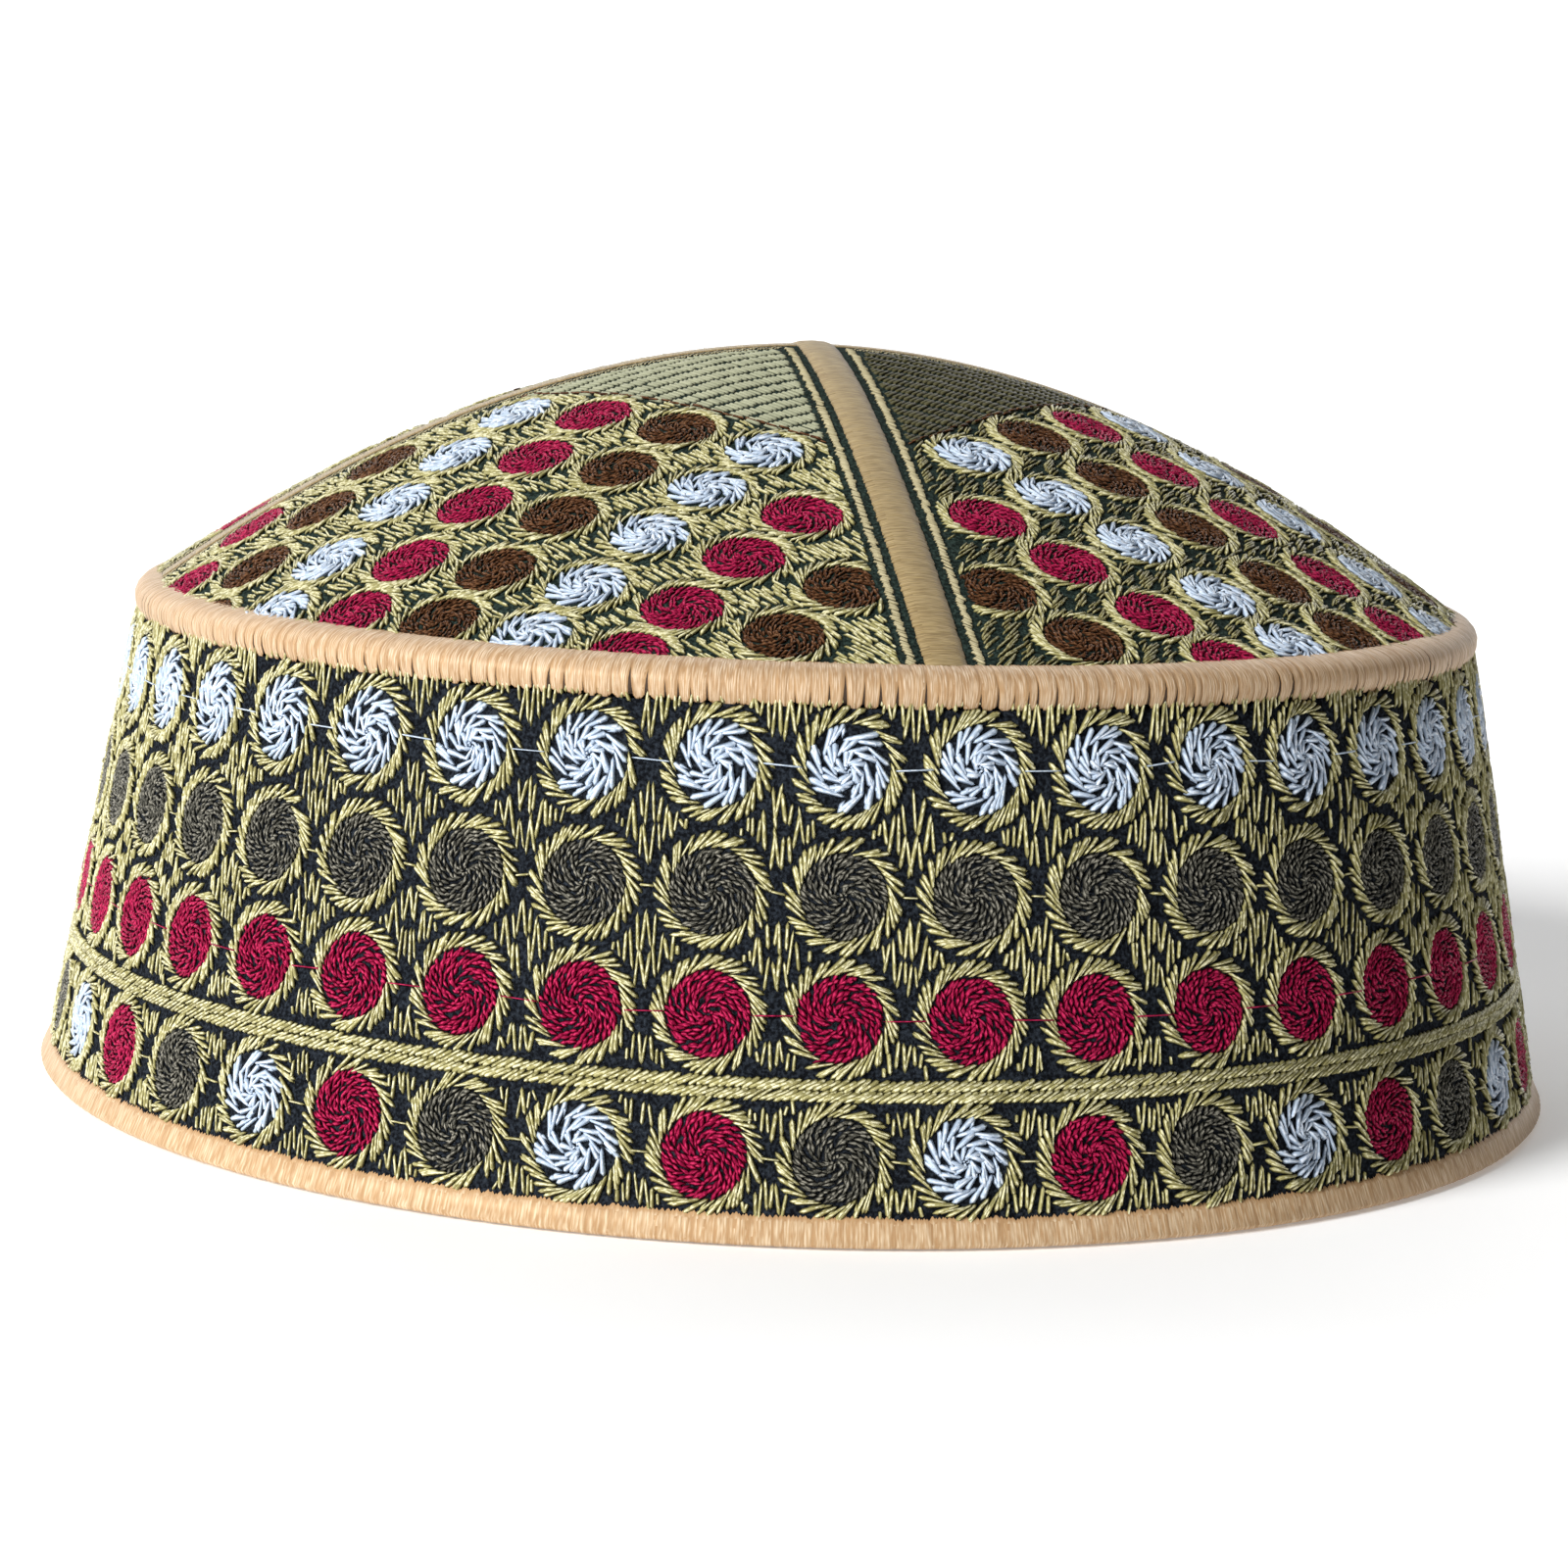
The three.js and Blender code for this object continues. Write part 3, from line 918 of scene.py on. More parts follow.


# A grain sets where a thread's painted glints fall along it, and its bump:
TWISTED = (1.7, 2.2, 0.5, 0.44)                   # two ends in a loose twist, 0.6 mm to a turn
SATIN = (0.25, 1.2, 0.0, 0.2)                     # the long flat filaments of satin stitch
FIBROUS = (0.6, 4.0, 0.0, 0.34)                   # wound satin, whose filaments show their own painted glints and bump


def thread_material(name, dark_dye_and_shade, body, glint, roughness, edge, uneven, grain):
    """Filament thread: glossy, with painted glints along its crest and painted shade at its edges.

    tone gives each strand its own depth of dye, up to uneven. crest lays a painted shade, as deep as
    edge, along its edges and tips, where strands overlap and dip into the cloth, and painted glints
    along its top. grain is one of those below: (changes to a mm along the strand, changes across it,
    slant of the painted glints in radians, level of the noise where they begin).
    """
    material, tree = new_material(name)
    tone = add_node(tree, "ShaderNodeAttribute", attribute_name="tone")
    crest = add_node(tree, "ShaderNodeAttribute", attribute_name="crest")
    run = add_node(tree, "ShaderNodeAttribute", attribute_name="run")
    stretch = add_node(tree, "ShaderNodeMapping", {"Vector": (run, "Vector"),
                                                   "Rotation": (0.0, 0.0, grain[2]),
                                                   "Scale": (grain[0], grain[1], 1.0)})
    fibre = add_node(tree, "ShaderNodeTexNoise", {"Vector": (stretch, 0), "Scale": 1.0, "Detail": 1.0})
    dye = add_node(tree, "ShaderNodeMapRange", {"Value": (tone, "Fac"), "To Min": 0.0, "To Max": uneven})
    dyed = add_node(tree, "ShaderNodeMix", {MIX_FACTOR: (dye, 0), MIX_A: linear(body),
                                            MIX_B: linear(dark_dye_and_shade)}, data_type="RGBA")
    # painted highlight: the glint colour laid along each strand's crest, where the fibre noise rises
    ridge = add_node(tree, "ShaderNodeMapRange", {"Value": (crest, "Fac"), "From Min": 0.35,
                                                  "From Max": 0.95})
    spark = add_node(tree, "ShaderNodeMapRange", {"Value": (fibre, 0), "From Min": grain[3],
                                                  "From Max": 1.04 - grain[3]})
    painted_glint = add_node(tree, "ShaderNodeMath", {0: (ridge, 0), 1: (spark, 0)}, operation="MULTIPLY")
    with_painted_glint = add_node(tree, "ShaderNodeMix", {MIX_FACTOR: (painted_glint, 0), MIX_A: (dyed, MIX_RESULT),
                                               MIX_B: linear(glint)}, data_type="RGBA")
    # painted shade: each strand's edges and tips are darkened towards the dark colour, as deep as edge
    painted_edge_shade = add_node(tree, "ShaderNodeMapRange", {"Value": (crest, "Fac"), "From Min": 0.0,
                                                    "From Max": 0.4, "To Min": edge, "To Max": 0.0})
    colour = add_node(tree, "ShaderNodeMix", {MIX_FACTOR: (painted_edge_shade, 0), MIX_A: (with_painted_glint, MIX_RESULT),
                                              MIX_B: linear(dark_dye_and_shade)}, data_type="RGBA")
    bump = add_node(tree, "ShaderNodeBump", {"Height": (fibre, 0), "Strength": 0.5,
                                             "Distance": 0.08 * MM})
    shader = add_node(tree, "ShaderNodeBsdfPrincipled", {
        "Base Color": (colour, MIX_RESULT), "Roughness": roughness, "Specular IOR Level": 0.4,
        "Specular Tint": linear(glint), "Normal": (bump, 0)})
    finish_material(tree, shader)
    return material


def ground_material(name, dark, light):
    """Plain-woven cotton dyed nearly black, 0.35 mm to a thread: matt, finely speckled."""
    material, tree = new_material(name)
    place = add_node(tree, "ShaderNodeTexCoord")
    fibre = add_node(tree, "ShaderNodeTexNoise", {"Vector": (place, "Object"), "Scale": 2600.0,
                                                  "Detail": 4.0})
    weave = add_node(tree, "ShaderNodeTexVoronoi", {"Vector": (place, "Object"), "Scale": 2800.0})
    share = add_node(tree, "ShaderNodeMapRange", {"Value": (fibre, 0), "From Min": 0.42, "From Max": 0.72})
    colour = add_node(tree, "ShaderNodeMix", {MIX_FACTOR: (share, 0), MIX_A: linear(dark),
                                              MIX_B: linear(light)}, data_type="RGBA")
    bump = add_node(tree, "ShaderNodeBump", {"Height": (weave, "Distance"), "Strength": 0.6,
                                             "Distance": 0.12 * MM})
    shader = add_node(tree, "ShaderNodeBsdfPrincipled", {
        "Base Color": (colour, MIX_RESULT), "Roughness": 0.9, "Specular IOR Level": 0.06,
        "Normal": (bump, 0)})
    finish_material(tree, shader)
    return material


def lining_material():
    """Dark cotton twill backing: matt, with slanting wales 0.7 mm apart."""
    material, tree = new_material("cotton_twill_backing")
    place = add_node(tree, "ShaderNodeTexCoord")
    wales = add_node(tree, "ShaderNodeTexWave", {"Vector": (place, "Object"), "Scale": 220.0,
                                                 "Distortion": 0.6, "Detail": 1.0},
                     bands_direction="DIAGONAL")
    fibre = add_node(tree, "ShaderNodeTexNoise", {"Vector": (place, "Object"), "Scale": 900.0,
                                                  "Detail": 3.0})
    share = add_node(tree, "ShaderNodeMath", {0: (wales, 1), 1: (fibre, 0)}, operation="MULTIPLY")
    colour = add_node(tree, "ShaderNodeMix", {MIX_FACTOR: (share, 0), MIX_A: linear("14161A"),
                                              MIX_B: linear("35373C")}, data_type="RGBA")
    bump = add_node(tree, "ShaderNodeBump", {"Height": (wales, 1), "Strength": 0.4,
                                             "Distance": 0.1 * MM})
    shader = add_node(tree, "ShaderNodeBsdfPrincipled", {
        "Base Color": (colour, MIX_RESULT), "Roughness": 0.9, "Specular IOR Level": 0.1,
        "Normal": (bump, 0)})
    finish_material(tree, shader)
    return material


def core_material(name, colour, notch):
    """Packed thread under the outer strands, seen only in the notches between them: dull, in colours darker
    than its thread's, painted shade in those notches.
    """
    material, tree = new_material(name)
    place = add_node(tree, "ShaderNodeTexCoord")
    grain = add_node(tree, "ShaderNodeTexNoise", {"Vector": (place, "Object"), "Scale": 1800.0})
    # painted shade: both colours are darker than the thread's own
    mixed = add_node(tree, "ShaderNodeMix", {MIX_FACTOR: (grain, 0), MIX_A: linear(colour),
                                             MIX_B: linear(notch)}, data_type="RGBA")
    shader = add_node(tree, "ShaderNodeBsdfPrincipled", {"Base Color": (mixed, MIX_RESULT),
                                                         "Roughness": 0.8})
    finish_material(tree, shader)
    return material


# ---- settings -----------------------------------------------------------------------------

def length_property(title, text, millimetres):
    """A length in metres, given here in millimetres."""
    return FloatProperty(name=title, description=text, default=millimetres * MM, min=0.0,
                         unit="LENGTH", precision=5)


def colour_property(title, text, value):
    """An sRGB hex colour."""
    return StringProperty(name=title, description=text, default=value, maxlen=6)


class KufiEmbroiderySettings(PropertyGroup):
    """Lengths and counts of the stitches on band and crown."""
    columns: IntProperty(name="Columns", description="Motifs round the band", default=40, min=12)
    column_phase: FloatProperty(name="Column phase", description="Where the column beside the front rib "
                                "stands, in columns", default=-0.825, subtype="FACTOR")
    row_spread: FloatProperty(name="Row spread", description="How far the band's upper rows spread",
                              default=0.068, subtype="ANGLE")
    stitch_width: length_property("Stitch width", "Width of a gold stitch on the band", 0.46)
    crown_stitch_width: length_property("Crown stitch width", "Width of a ring's stitch on the crown", 0.43)
    stitch_height: length_property("Stitch height", "How far a stitch stands up", 0.30)
    ring_periods: IntProperty(name="Ring periods", description="Zigzags in a ring", default=44, min=8)
    ring_turn: FloatProperty(name="Ring turn", description="How far a ring's long leg turns round",
                             default=0.53, subtype="ANGLE")
    ring_inner: length_property("Ring inside", "Inner radius of a ring on the band", 4.5)
    ring_outer: length_property("Ring outside", "Outer radius of a ring on the band", 6.4)
    crown_ring_inner: length_property("Crown ring inside", "Inner radius of a ring on the crown", 4.5)
    crown_ring_outer: length_property("Crown ring outside", "Outer radius of a ring on the crown", 6.2)
    crown_pitch: length_property("Crown pitch", "Distance between the crown's columns", 12.1)
    row_bow: length_property("Row bow", "How far the crown's rows bend up at a gore's sides", 3.7)
    fill_lines: IntProperty(name="Fill lines", description="Upright stitches to a column", default=22,
                            min=5)
    fill_length: length_property("Fill length", "Usual length of an upright stitch", 4.3)
    fill_lean: length_property("Fill lean", "How far an upright stitch leans to each side", 0.24)
    fill_width: length_property("Fill width", "Width of an upright stitch", 0.44)
    crown_fill_width: length_property("Crown fill width", "Width of a crown fill stitch", 0.40)
    neck: length_property("Neck", "Least distance of upright stitches from a row's middle", 2.2)
    braid_place: FloatProperty(name="Braid place", description="Height of the braid over the band's height",
                               default=0.279, subtype="FACTOR")
    braid_pitch: length_property("Braid pitch", "Distance from stitch to stitch in the braid", 0.86)
    crown_fill_fall: length_property("Crown fill fall", "Fall of a crown fill stitch", 1.1)
    crown_fill_spacing: length_property("Crown fill spacing", "Distance between crown fill stitches", 0.42)
    crown_fill_length: length_property("Crown fill length", "Length of a crown fill stitch", 3.8)
    plain_start: length_property("Plain top", "How far up a gore its plain top begins", 58.6)
    plain_spacing: length_property("Plain spacing", "Distance between stitches of the plain top", 0.60)
    plain_length: length_property("Plain length", "Length of a stitch of the plain top", 2.7)
    plain_stagger: length_property("Plain stagger", "Shift from line to line of the plain top", 0.26)
    flank_place: length_property("Flank place", "Distance of a flank line from the middle of its rib", 3.75)
    flank_width: length_property("Flank width", "Width of a flank line", 1.05)
    flank_pitch: length_property("Flank pitch", "Distance from stitch to stitch in a flank line", 0.37)
    flank_slant: length_property("Flank slant", "Fall of a flank stitch over its length", 0.75)
    flank_clear: length_property("Flank clearance", "Where the gores' stitches end beside a rib", 4.75)


class KufiSatinSettings(PropertyGroup):
    """Lengths of the satin piping, binding and ribs."""
    piping_pitch: length_property("Piping pitch", "Distance from strand to strand of the piping", 0.27)
    binding_pitch: length_property("Binding pitch", "Distance from strand to strand of the binding", 0.36)
    rib_pitch: length_property("Rib pitch", "Distance from strand to strand of a rib", 0.25)
    rib_bulge: length_property("Rib bulge", "Rise of the long rib's middle over its edges", 0.38)
    side_rib_bulge: length_property("Side rib bulge", "Rise of a side rib's middle over its edges", 0.02)


class KufiColourSettings(PropertyGroup):
    """Colours of the threads' bodies, as sRGB hex."""
    gold: colour_property("Gold", "Gold thread", "A69F6A")
    # Two of these, on the first and third line below, are darker copies of the golds for the right-hand
    # gores: painted shade.
    old_gold: colour_property("Old gold", "Gold thread of the right-hand gores", "80784E")
    laid_gold: colour_property("Laid gold", "Close gold stitches of the plain tops", "9A9C82")
    old_laid_gold: colour_property("Old laid gold", "The same on the right-hand gores", "4E4B34")
    white: colour_property("White", "White thread", "BCCCDE")
    red: colour_property("Red", "Crimson thread", "8C143A")
    brown: colour_property("Brown", "Drab thread of the band", "484740")
    crown_brown: colour_property("Crown brown", "Brown thread of the crown", "4A2E1C")
    piping: colour_property("Piping", "Satin of the piping", "B8946C")
    binding: colour_property("Binding", "Satin of the binding", "B8946C")
    rib: colour_property("Rib", "Satin of the ribs", "88734C")
    flank: colour_property("Flank", "Satin lines beside the ribs", "A89E7A")


class KufiStageSettings(PropertyGroup):
    """Place of the camera and strength of the lights."""
    camera_place: FloatVectorProperty(name="Camera place", description="Where the camera stands",
                                      default=(-0.0953, -0.5115, 0.1098), unit="LENGTH", subtype="XYZ")
    camera_turn: FloatProperty(name="Camera turn", description="Heading, left of straight ahead",
                               default=-0.1809, subtype="ANGLE")
    camera_tilt: FloatProperty(name="Camera tilt", description="Angle above the horizon",
                               default=-0.1438, subtype="ANGLE")
    camera_roll: FloatProperty(name="Camera roll", description="Turn about the line of sight",
                               default=-0.0333, subtype="ANGLE")
    lens: FloatProperty(name="Lens", description="Focal length", default=97.05, unit="CAMERA")
    surround: FloatProperty(name="Surround", description="Strength of the white surround", default=0.08)
    key: FloatProperty(name="Key", description="Strength of the key light", default=4.6)
    top: FloatProperty(name="Top", description="Strength of the light from above", default=0.15)
    # painted glow of the floor, which has no lamp under it
    floor_glow: FloatProperty(name="Floor glow", description="Strength of the light through the floor",
                              default=0.2)


# ---- operators ----------------------------------------------------------------------------

# Each thread: material, dark colour (the darkest tone of its dye, and its painted shade), painted glint
# (also the tint of its gloss), roughness, depth of the painted shade at its edges, unevenness of its dye,
# grain. Its body has the colour of the same name in the settings.
THREADS = {
    "gold": ("rayon_thread_gold", "423C1E", "F3EEC8", 0.32, 0.7, 0.35, TWISTED),
    # This line and the second below are darker copies of the two golds for the right-hand gores: painted
    # shade, with dimmer painted glints.
    "old_gold": ("rayon_thread_gold_painted_shade", "3E3C24", "C4C096", 0.32, 0.7, 0.35, TWISTED),
    "laid_gold": ("rayon_thread_laid_gold", "3A3E2A", "B8B89A", 0.42, 0.4, 0.2, SATIN),
    "old_laid_gold": ("rayon_thread_laid_gold_painted_shade", "1A1A10", "6A6648", 0.42, 0.5, 0.25, SATIN),
    "white": ("rayon_thread_white", "5E6E88", "ECF2FA", 0.36, 0.6, 0.3, TWISTED),
    "red": ("rayon_thread_crimson", "30020C", "D83868", 0.32, 0.8, 0.4, TWISTED),
    "brown": ("rayon_thread_drab", "100F0D", "A09C8E", 0.32, 0.8, 0.4, TWISTED),
    "crown_brown": ("rayon_thread_brown", "140A05", "8A6244", 0.32, 0.8, 0.5, TWISTED),
    "piping": ("polyester_satin_piping", "6E4E30", "E2CCB0", 0.42, 0.25, 0.34, FIBROUS),
    "binding": ("polyester_satin_binding", "84603E", "DEC8A8", 0.42, 0.14, 0.22, FIBROUS),
    "rib": ("polyester_satin_antique_gold", "5E4A2E", "B8A274", 0.38, 0.3, 0.3, FIBROUS),
    "flank": ("polyester_satin_tan", "4A3E2A", "DCD2AE", 0.42, 0.6, 0.3, SATIN),
}


def thread(name):
    """The thread material of that name, made once."""
    title, dark_dye_and_shade, glint, roughness, edge, uneven, grain = THREADS[name]
    body = getattr(bpy.context.scene.kufi_colours, name)
    return bpy.data.materials.get(title) or thread_material(title, dark_dye_and_shade, body, glint, roughness, edge,
                                                            uneven, grain)


class KUFI_OT_band_cloth(Operator):
    """Makes the side band's wall"""
    bl_idname = "kufi.band_cloth"
    bl_label = "Band cloth"

    def execute(self, context):
        steps = 25
        height = np.linspace(FOOT, BAND_HIGH[2], steps)
        outer = np.stack([band_radius(height), height], axis=-1)
        inner = (outer - [CLOTH, 0])[::-1]
        section = np.concatenate([outer, inner])
        points, triangles = ring_core(section, RING_STEPS)
        first_row, last_row = triangles.min(axis=1) // RING_STEPS, triangles.max(axis=1) // RING_STEPS
        lined = (first_row >= steps - 1) | (last_row >= steps)   # the inner face and both edges
        make_piece("band_cloth", points, triangles,
                   [ground_material("cotton_ground_black", "0B0D11", "2E343C"), lining_material()],
                   ["side_band"], material_index=lined)
        return {"FINISHED"}


class KUFI_OT_crown_cloth(Operator):
    """Makes the crown's four gores"""
    bl_idname = "kufi.crown_cloth"
    bl_label = "Crown cloth"

    def execute(self, context):
        ground = ground_material("cotton_ground_green_black", "151E1A", "384842")
        lining = lining_material()
        for number, node in enumerate(GORE_NODES):
            points, triangles, lined = gore_shell(number)
            make_piece(f"gore_cloth_{number + 1}", points, triangles, [ground, lining],
                       [node], material_index=lined)
        return {"FINISHED"}


def gore_shell(gore):
    """Closed shell of a gore: a grid (round, inwards) on the crown, and one a cloth's thickness below."""
    rows, columns = 34, 41
    share = np.linspace(0, 1, rows)[:, None]
    angle = (gore + np.linspace(0, 1, columns)[None]) * TURN / 4
    outward, _ = gore_axes(gore)
    radius = (SEAM_RADIUS - 0.3 * MM) * (1 - share) + 1.2 * MM * share   # from the fold to the tip
    plan = oval_plan(radius, angle) + outward * 0.2 * MM                # clear of the next gores
    top = crown_point(plan[..., 0], plan[..., 1])
    under = top - [0, 0, CLOTH]
    points = np.concatenate([top.reshape(-1, 3), under.reshape(-1, 3)])
    faces = grid_triangles(rows, columns)
    size = rows * columns
    # The rim of the grid: its first row, its last column, its last row and its first column.
    rim = np.concatenate([np.arange(columns), np.arange(1, rows) * columns + columns - 1,
                          (rows - 1) * columns + np.arange(columns - 2, -1, -1),
                          np.arange(rows - 2, 0, -1) * columns])
    after = np.roll(rim, -1)
    walls = np.concatenate([np.stack([rim, rim + size, after + size], axis=-1),
                            np.stack([rim, after + size, after], axis=-1)])
    triangles = np.concatenate([faces, faces[:, ::-1] + size, walls])
    lined = np.r_[np.zeros(len(faces)), np.ones(len(faces)), np.zeros(len(walls))]
    return points, triangles, lined


class KUFI_OT_band_embroidery(Operator):
    """Stitches the band's rings, fill, braid and motifs"""
    bl_idname = "kufi.band_embroidery"
    bl_label = "Band embroidery"

    def execute(self, context):
        settings = context.scene.kufi_embroidery
        rng = np.random.default_rng(11)
        motifs = band_motifs(settings)
        ring = (settings.ring_inner, settings.ring_outer, settings.ring_periods, settings.ring_turn)
        rings = zigzag_round(BAND, motifs, ring, settings.stitch_width, settings.stitch_height, rng)
        strand_piece("band_rings_gold", rings, thread("gold"), 1)
        ring_edge = settings.ring_outer - 0.5 * MM
        fill = [band_fill(settings, rng), *band_braid(settings, rng),
                band_jumps(settings, 1, ring_edge, GOLD_THREAD, rng),
                band_jumps(settings, 3, ring_edge, GOLD_THREAD, rng)]
        strand_piece("band_stitches_gold", fill, thread("gold"), 2)
        white = [*white_motifs(BAND, motifs.of("W"), rng),
                 band_jumps(settings, 0, MOTIF_EDGE, FINE_THREAD, rng)]
        strand_piece("band_motifs_white", white, thread("white"), 3)
        red = [*grain_rounds(BAND, motifs.of("R"), GRAIN_ROUNDS, *RED_GRAINS, rng),
               band_jumps(settings, 2, MOTIF_EDGE, FINE_THREAD, rng)]
        strand_piece("band_motifs_red", red, thread("red"), 4)
        brown = grain_rounds(BAND, motifs.of("B"), GRAIN_ROUNDS, *BROWN_GRAINS, rng)
        strand_piece("band_motifs_brown", brown, thread("brown"), 5)
        return {"FINISHED"}


class KUFI_OT_crown_embroidery(Operator):
    """Stitches the crown's rings, fill, plain tops, motifs and flank lines"""
    bl_idname = "kufi.crown_embroidery"
    bl_label = "Crown embroidery"

    def execute(self, context):
        settings = context.scene.kufi_embroidery
        rng = np.random.default_rng(23)
        ring = (settings.crown_ring_inner, settings.crown_ring_outer, settings.ring_periods,
                settings.ring_turn)
        rings, white, red, brown = [], [], [], []
        for gore in range(4):
            motifs = gore_motifs(gore, settings)
            grains = (GRAIN_ROUNDS, *CROWN_GRAINS, rng)
            for kept, groups in (
                (rings, zigzag_round(CROWN, motifs, ring, settings.crown_stitch_width,
                                     settings.stitch_height * 0.85, rng)),
                (white, white_motifs(CROWN, motifs.of("W"), rng)),
                (red, grain_rounds(CROWN, motifs.of("R"), *grains)),
                (brown, grain_rounds(CROWN, motifs.of("B"), *grains) + [gore_border(gore, settings, rng)]),
            ):
                kept += [within_gore(gore, group, settings) for group in groups]
            shade = "" if gore > 1 else "old_"    # the right-hand gores' gold is made darker: painted shade, for the weaker light and sheen on them
            for name, groups, gold, seed in (
                ("stitches", gore_fill(gore, motifs, settings, rng), "gold", 30),
                ("top", gore_plain_top(gore, settings, rng), "laid_gold", 35),
            ):
                groups = [within_gore(gore, group, settings) for group in groups]
                strand_piece(f"gore_{name}_gold_{gore + 1}", groups, thread(shade + gold),
                             seed + gore)
        strand_piece("crown_rings_gold", rings, thread("gold"), 41)
        strand_piece("crown_motifs_white", white, thread("white"), 42)
        strand_piece("crown_motifs_red", red, thread("red"), 43)
        strand_piece("crown_motifs_brown", brown, thread("crown_brown"), 44)
        strand_piece("flank_lines", flank_lines(settings, rng), thread("flank"), 45)
        return {"FINISHED"}


class KUFI_OT_ribs(Operator):
    """Winds the satin ribs over the crown's joints"""
    bl_idname = "kufi.ribs"
    bl_label = "Ribs"

    def execute(self, context):
        settings = context.scene.kufi_satin
        rng = np.random.default_rng(31)
        foot = RIB_HIGH[1] / STRETCH              # where the ribs begin, as a half-width of the oval
        head = RIB_WIDTH / 2 + 0.2 * MM           # where the side ribs end, beside the long one
        # both colours are darker than the rib's satin: painted shade in its notches
        core = core_material("rib_core_painted_shade", "7C6846", "5C4A2E")
        long_bulge, side_bulge = settings.rib_bulge, settings.side_rib_bulge
        for node, angle, last, bulge in (("rib_front_to_back", 0.0, -foot, long_bulge),
                                         ("rib_right", TURN / 4, head, side_bulge),
                                         ("rib_left", -TURN / 4, head, side_bulge)):
            strand_piece(node.replace("rib", "satin_rib"),
                         [rib_strands(angle, foot, last, bulge, settings.rib_pitch, rng)],
                         thread("rib"), 51, [node], rib_core(angle, foot, last, bulge), core)
        return {"FINISHED"}


class KUFI_OT_piping(Operator):
    """Winds the satin piping over the fold between band and crown"""
    bl_idname = "kufi.piping"
    bl_label = "Piping"

    def execute(self, context):
        settings = context.scene.kufi_satin
        rng = np.random.default_rng(37)
        foot = PIPING_LOW[2] - 0.3 * MM
        low = np.array([band_radius(foot) + 0.05 * MM, foot])
        reach = SEAM_RADIUS - 3.0 * MM            # half-width at which it ends on the crown
        top = np.array([reach, crown_height(0.0, -reach * STRETCH)])
        crest = np.array([SEAM_RADIUS + 0.45 * MM, FOLD + 0.35 * MM])
        section = arch(low, crest, top, np.array([0, 0.03, 0.15, 0.3, 0.45, 0.6, 0.75, 0.92, 1]))
        strands = wrapped_strands(section, settings.piping_pitch, PIPING_NOTCH, rng)
        inside = arch(low - [0.5 * MM, -0.3 * MM], crest - 1.6 * MM, top - [0.3 * MM, 0.6 * MM],
                      np.linspace(1, 0, 5))
        core = ring_core(np.concatenate([section[1:-1] - 0.02 * MM, inside]), RING_STEPS)
        # both colours are far darker than the piping's satin: painted shade in its slits
        strand_piece("satin_piping", [strands], thread("piping"), 61, ["seam_piping"], core,
                     core_material("piping_core_painted_shade", "4E3826", "1A120C"))
        return {"FINISHED"}


class KUFI_OT_binding(Operator):
    """Winds the satin binding round the rim"""
    bl_idname = "kufi.binding"
    bl_label = "Binding"

    def execute(self, context):
        settings = context.scene.kufi_satin
        rng = np.random.default_rng(41)
        top, outside = BINDING_HIGH[2], BINDING_HIGH[0] - 0.3 * MM
        inside = band_radius(0.0) - CLOTH - 1.0 * MM
        outer_top = np.array([band_radius(top) + 0.05 * MM, top + 0.1 * MM])
        turn = np.linspace(0, np.pi, 6)
        middle, half = (inside + outside) / 2, (outside - inside) / 2
        bottom = np.stack([middle + half * np.cos(turn), 0.85 * MM - 0.7 * MM * np.sin(turn)], axis=-1)
        section = np.concatenate([[outer_top, outer_top + [0.4 * MM, -0.6 * MM]], bottom,
                                  [[inside - 0.2 * MM, top * 0.6], [inside - 0.25 * MM, top * 0.75]]])
        strands = wrapped_strands(section, settings.binding_pitch, BINDING_NOTCH, rng)
        back = np.array([[inside + 0.6 * MM, top * 0.7], [inside + 0.9 * MM, 0.95 * MM],
                         [outside - 0.9 * MM, 0.95 * MM], [outside - 1.3 * MM, top * 0.8]])
        core = ring_core(np.concatenate([section[1:-1], back])[::-1], RING_STEPS)
        # both colours are darker than the binding's satin: painted shade in its notches
        strand_piece("satin_binding", [strands], thread("binding"), 71, ["rim_binding"],
                     core, core_material("binding_core_painted_shade", "A4845F", "7A5C40"))
        return {"FINISHED"}


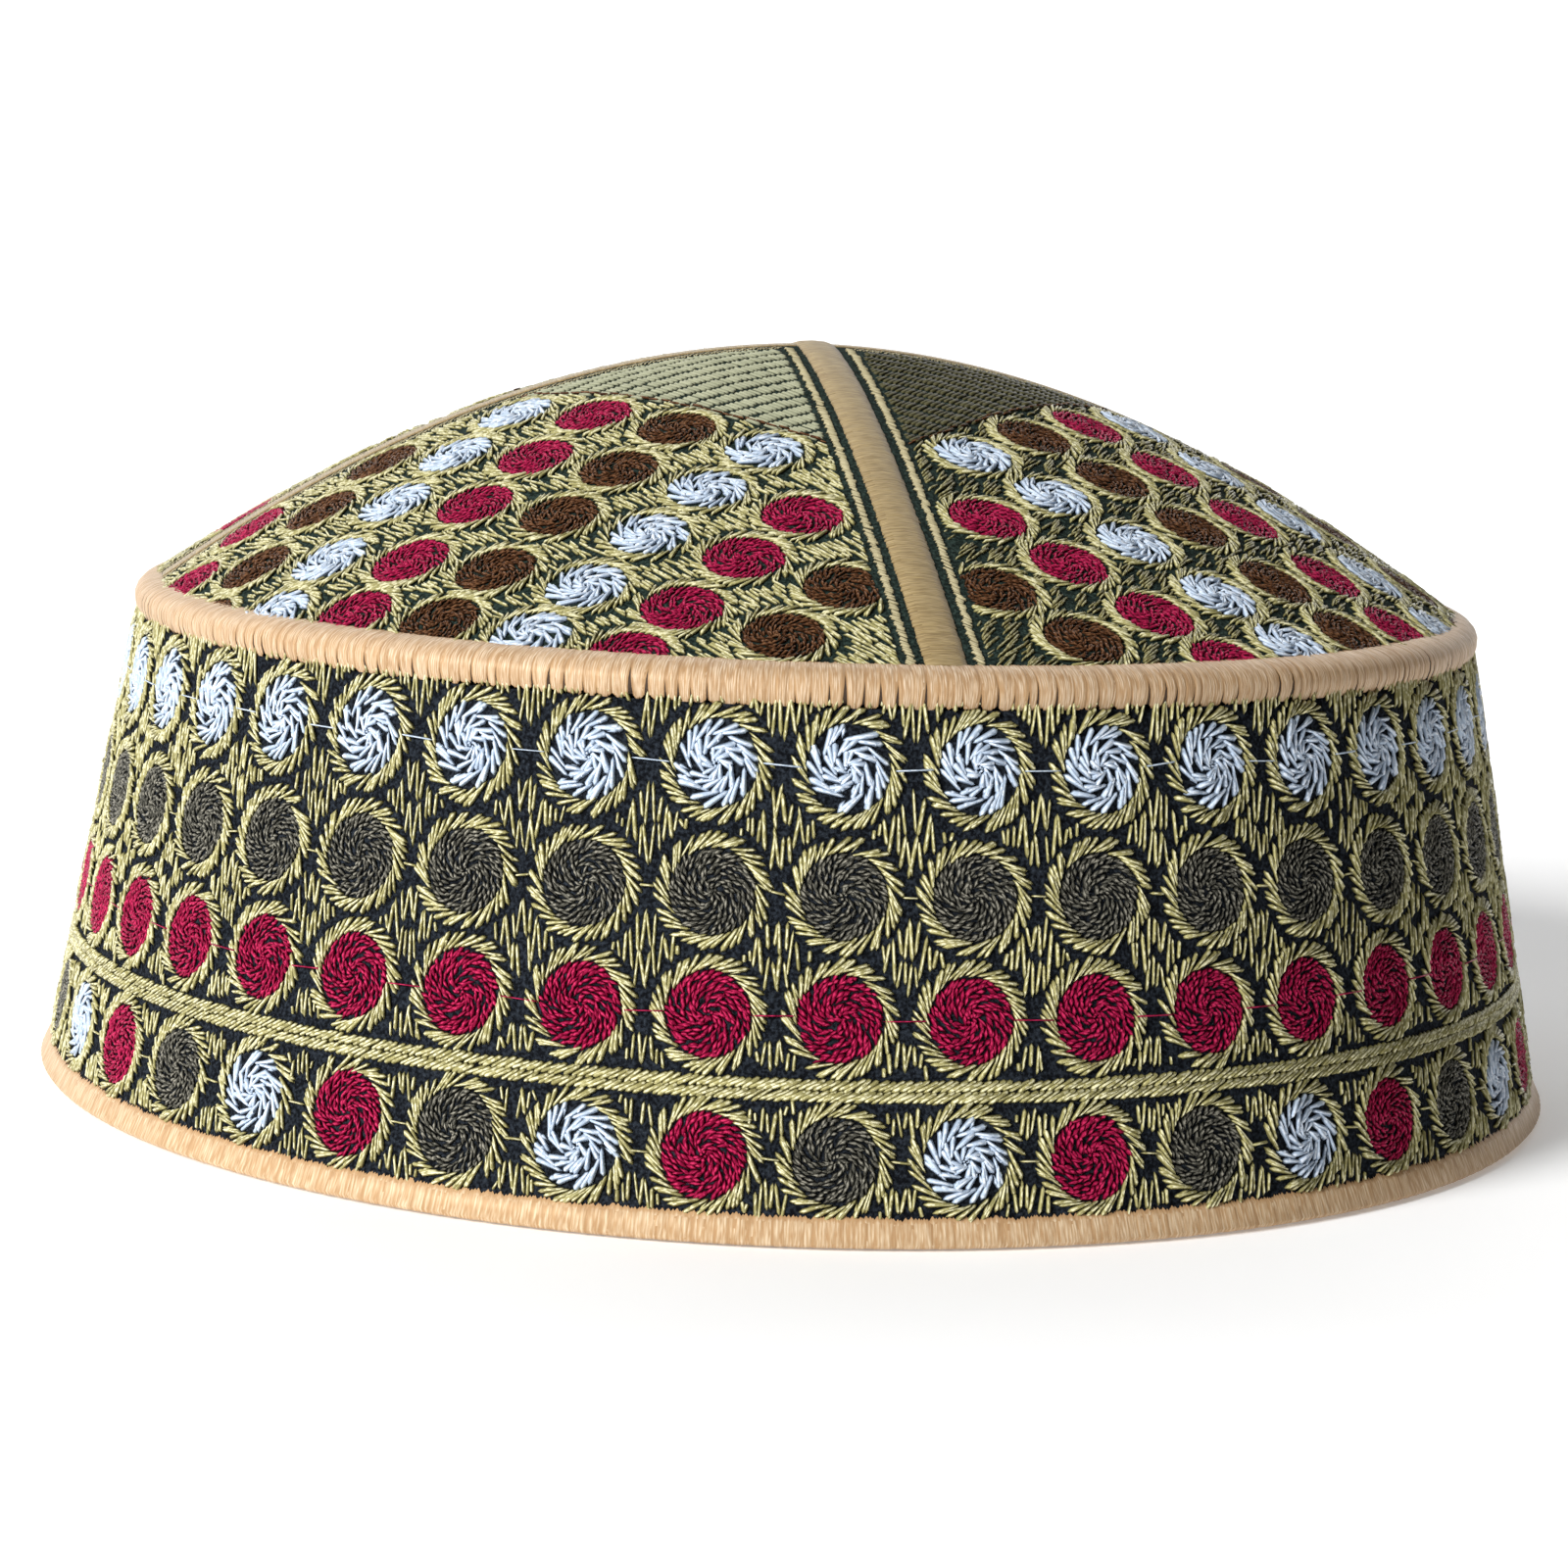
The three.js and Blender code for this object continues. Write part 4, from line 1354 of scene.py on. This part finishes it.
class KUFI_OT_stage(Operator):
    """Lays a plain pale floor that curves up behind and sets the lights and the camera"""
    bl_idname = "kufi.stage"
    bl_label = "Stage"

    def execute(self, context):
        settings = context.scene.kufi_stage
        floor_mesh = bpy.data.meshes.new("floor")
        size, flat, bend = 6.0, 2.0, 1.5          # metres: reach, level part behind the cap, rounding
        turn = np.linspace(0, np.pi / 2, 25)
        deep = np.concatenate([[-size], flat + bend * np.sin(turn), [flat + bend]])
        high = np.concatenate([[0.0], bend * (1 - np.cos(turn)), [size]])
        corners = [(x, y, z) for y, z in zip(deep.tolist(), high.tolist()) for x in (-size, size)]
        faces = [(at, at + 1, at + 3, at + 2) for at in range(0, len(corners) - 2, 2)]
        floor_mesh.from_pydata(corners, [], faces)
        floor_mesh.shade_smooth()
        floor = bpy.data.objects.new("floor", floor_mesh)
        context.scene.collection.objects.link(floor)
        paint, tree = new_material("white_floor_painted_glow")
        # painted glow: the floor emits light though no lamp lies under it, lightening the floor, its
        # shadows and the cap from below
        shader = add_node(tree, "ShaderNodeBsdfPrincipled", {
            "Base Color": linear("FCFCFC"), "Roughness": 0.9, "Specular IOR Level": 0.1,
            "Emission Color": linear("FFFFFF"), "Emission Strength": settings.floor_glow})
        finish_material(tree, shader)
        floor_mesh.materials.append(paint)

        world = bpy.data.worlds.new("studio")
        context.scene.world = world
        world.use_nodes = True
        world.node_tree.nodes.clear()
        background = add_node(world.node_tree, "ShaderNodeBackground",
                              {"Color": linear("FFFFFF"), "Strength": settings.surround})
        add_node(world.node_tree, "ShaderNodeOutputWorld", {"Surface": (background, 0)})

        for name, direction, spread, power in (
            ("key", (-0.85, -0.53, 0.45), 24.0, settings.key),
            ("top", (0.10, 0.50, 1.0), 40.0, settings.top),
        ):
            light = bpy.data.lights.new(name, "SUN")
            light.angle, light.energy = np.radians(spread), power
            lamp = bpy.data.objects.new(name, light)
            lamp.rotation_euler = Vector(direction).to_track_quat("Z", "Y").to_euler()
            lamp.location = Vector(direction)
            context.scene.collection.objects.link(lamp)

        camera_data = bpy.data.cameras.new("camera")
        camera_data.lens, camera_data.sensor_width = settings.lens, 36.0
        camera_data.clip_start, camera_data.clip_end = 0.01, 50.0
        camera = bpy.data.objects.new("camera", camera_data)
        heading = (Matrix.Rotation(settings.camera_turn, 4, "Z")
                   @ Matrix.Rotation(settings.camera_tilt, 4, "X")
                   @ Matrix.Rotation(settings.camera_roll, 4, "Y") @ Matrix.Rotation(np.pi / 2, 4, "X"))
        camera.matrix_world = Matrix.Translation(settings.camera_place) @ heading
        context.scene.collection.objects.link(camera)
        context.scene.camera = camera
        context.scene.view_settings.view_transform = "Standard"
        return {"FINISHED"}


class KUFI_PT_panel(Panel):
    """Lists the cap's pieces"""
    bl_idname = "KUFI_PT_panel"
    bl_label = "Kufi cap"
    bl_space_type = "VIEW_3D"
    bl_region_type = "UI"
    bl_category = "Kufi cap"

    def draw(self, context):
        for operator in OPERATORS:
            self.layout.operator(operator.bl_idname)


OPERATORS = (KUFI_OT_stage, KUFI_OT_band_cloth, KUFI_OT_crown_cloth, KUFI_OT_ribs, KUFI_OT_piping,
             KUFI_OT_binding, KUFI_OT_band_embroidery, KUFI_OT_crown_embroidery)
SETTINGS = {"kufi_embroidery": KufiEmbroiderySettings, "kufi_satin": KufiSatinSettings,
            "kufi_colours": KufiColourSettings, "kufi_stage": KufiStageSettings}


def register():
    """Registers the settings, the operators and the panel."""
    for name, group in SETTINGS.items():
        bpy.utils.register_class(group)
        setattr(bpy.types.Scene, name, PointerProperty(type=group))
    for operator in OPERATORS:
        bpy.utils.register_class(operator)
    bpy.utils.register_class(KUFI_PT_panel)


def unregister():
    """Takes them away again."""
    bpy.utils.unregister_class(KUFI_PT_panel)
    for operator in reversed(OPERATORS):
        bpy.utils.unregister_class(operator)
    for name, group in SETTINGS.items():
        delattr(bpy.types.Scene, name)
        bpy.utils.unregister_class(group)


def main():
    register()
    bpy.ops.kufi.stage()
    bpy.ops.kufi.band_cloth()
    bpy.ops.kufi.crown_cloth()
    bpy.ops.kufi.ribs()
    bpy.ops.kufi.piping()
    bpy.ops.kufi.binding()
    bpy.ops.kufi.band_embroidery()
    bpy.ops.kufi.crown_embroidery()


if __name__ == "__main__":
    main()
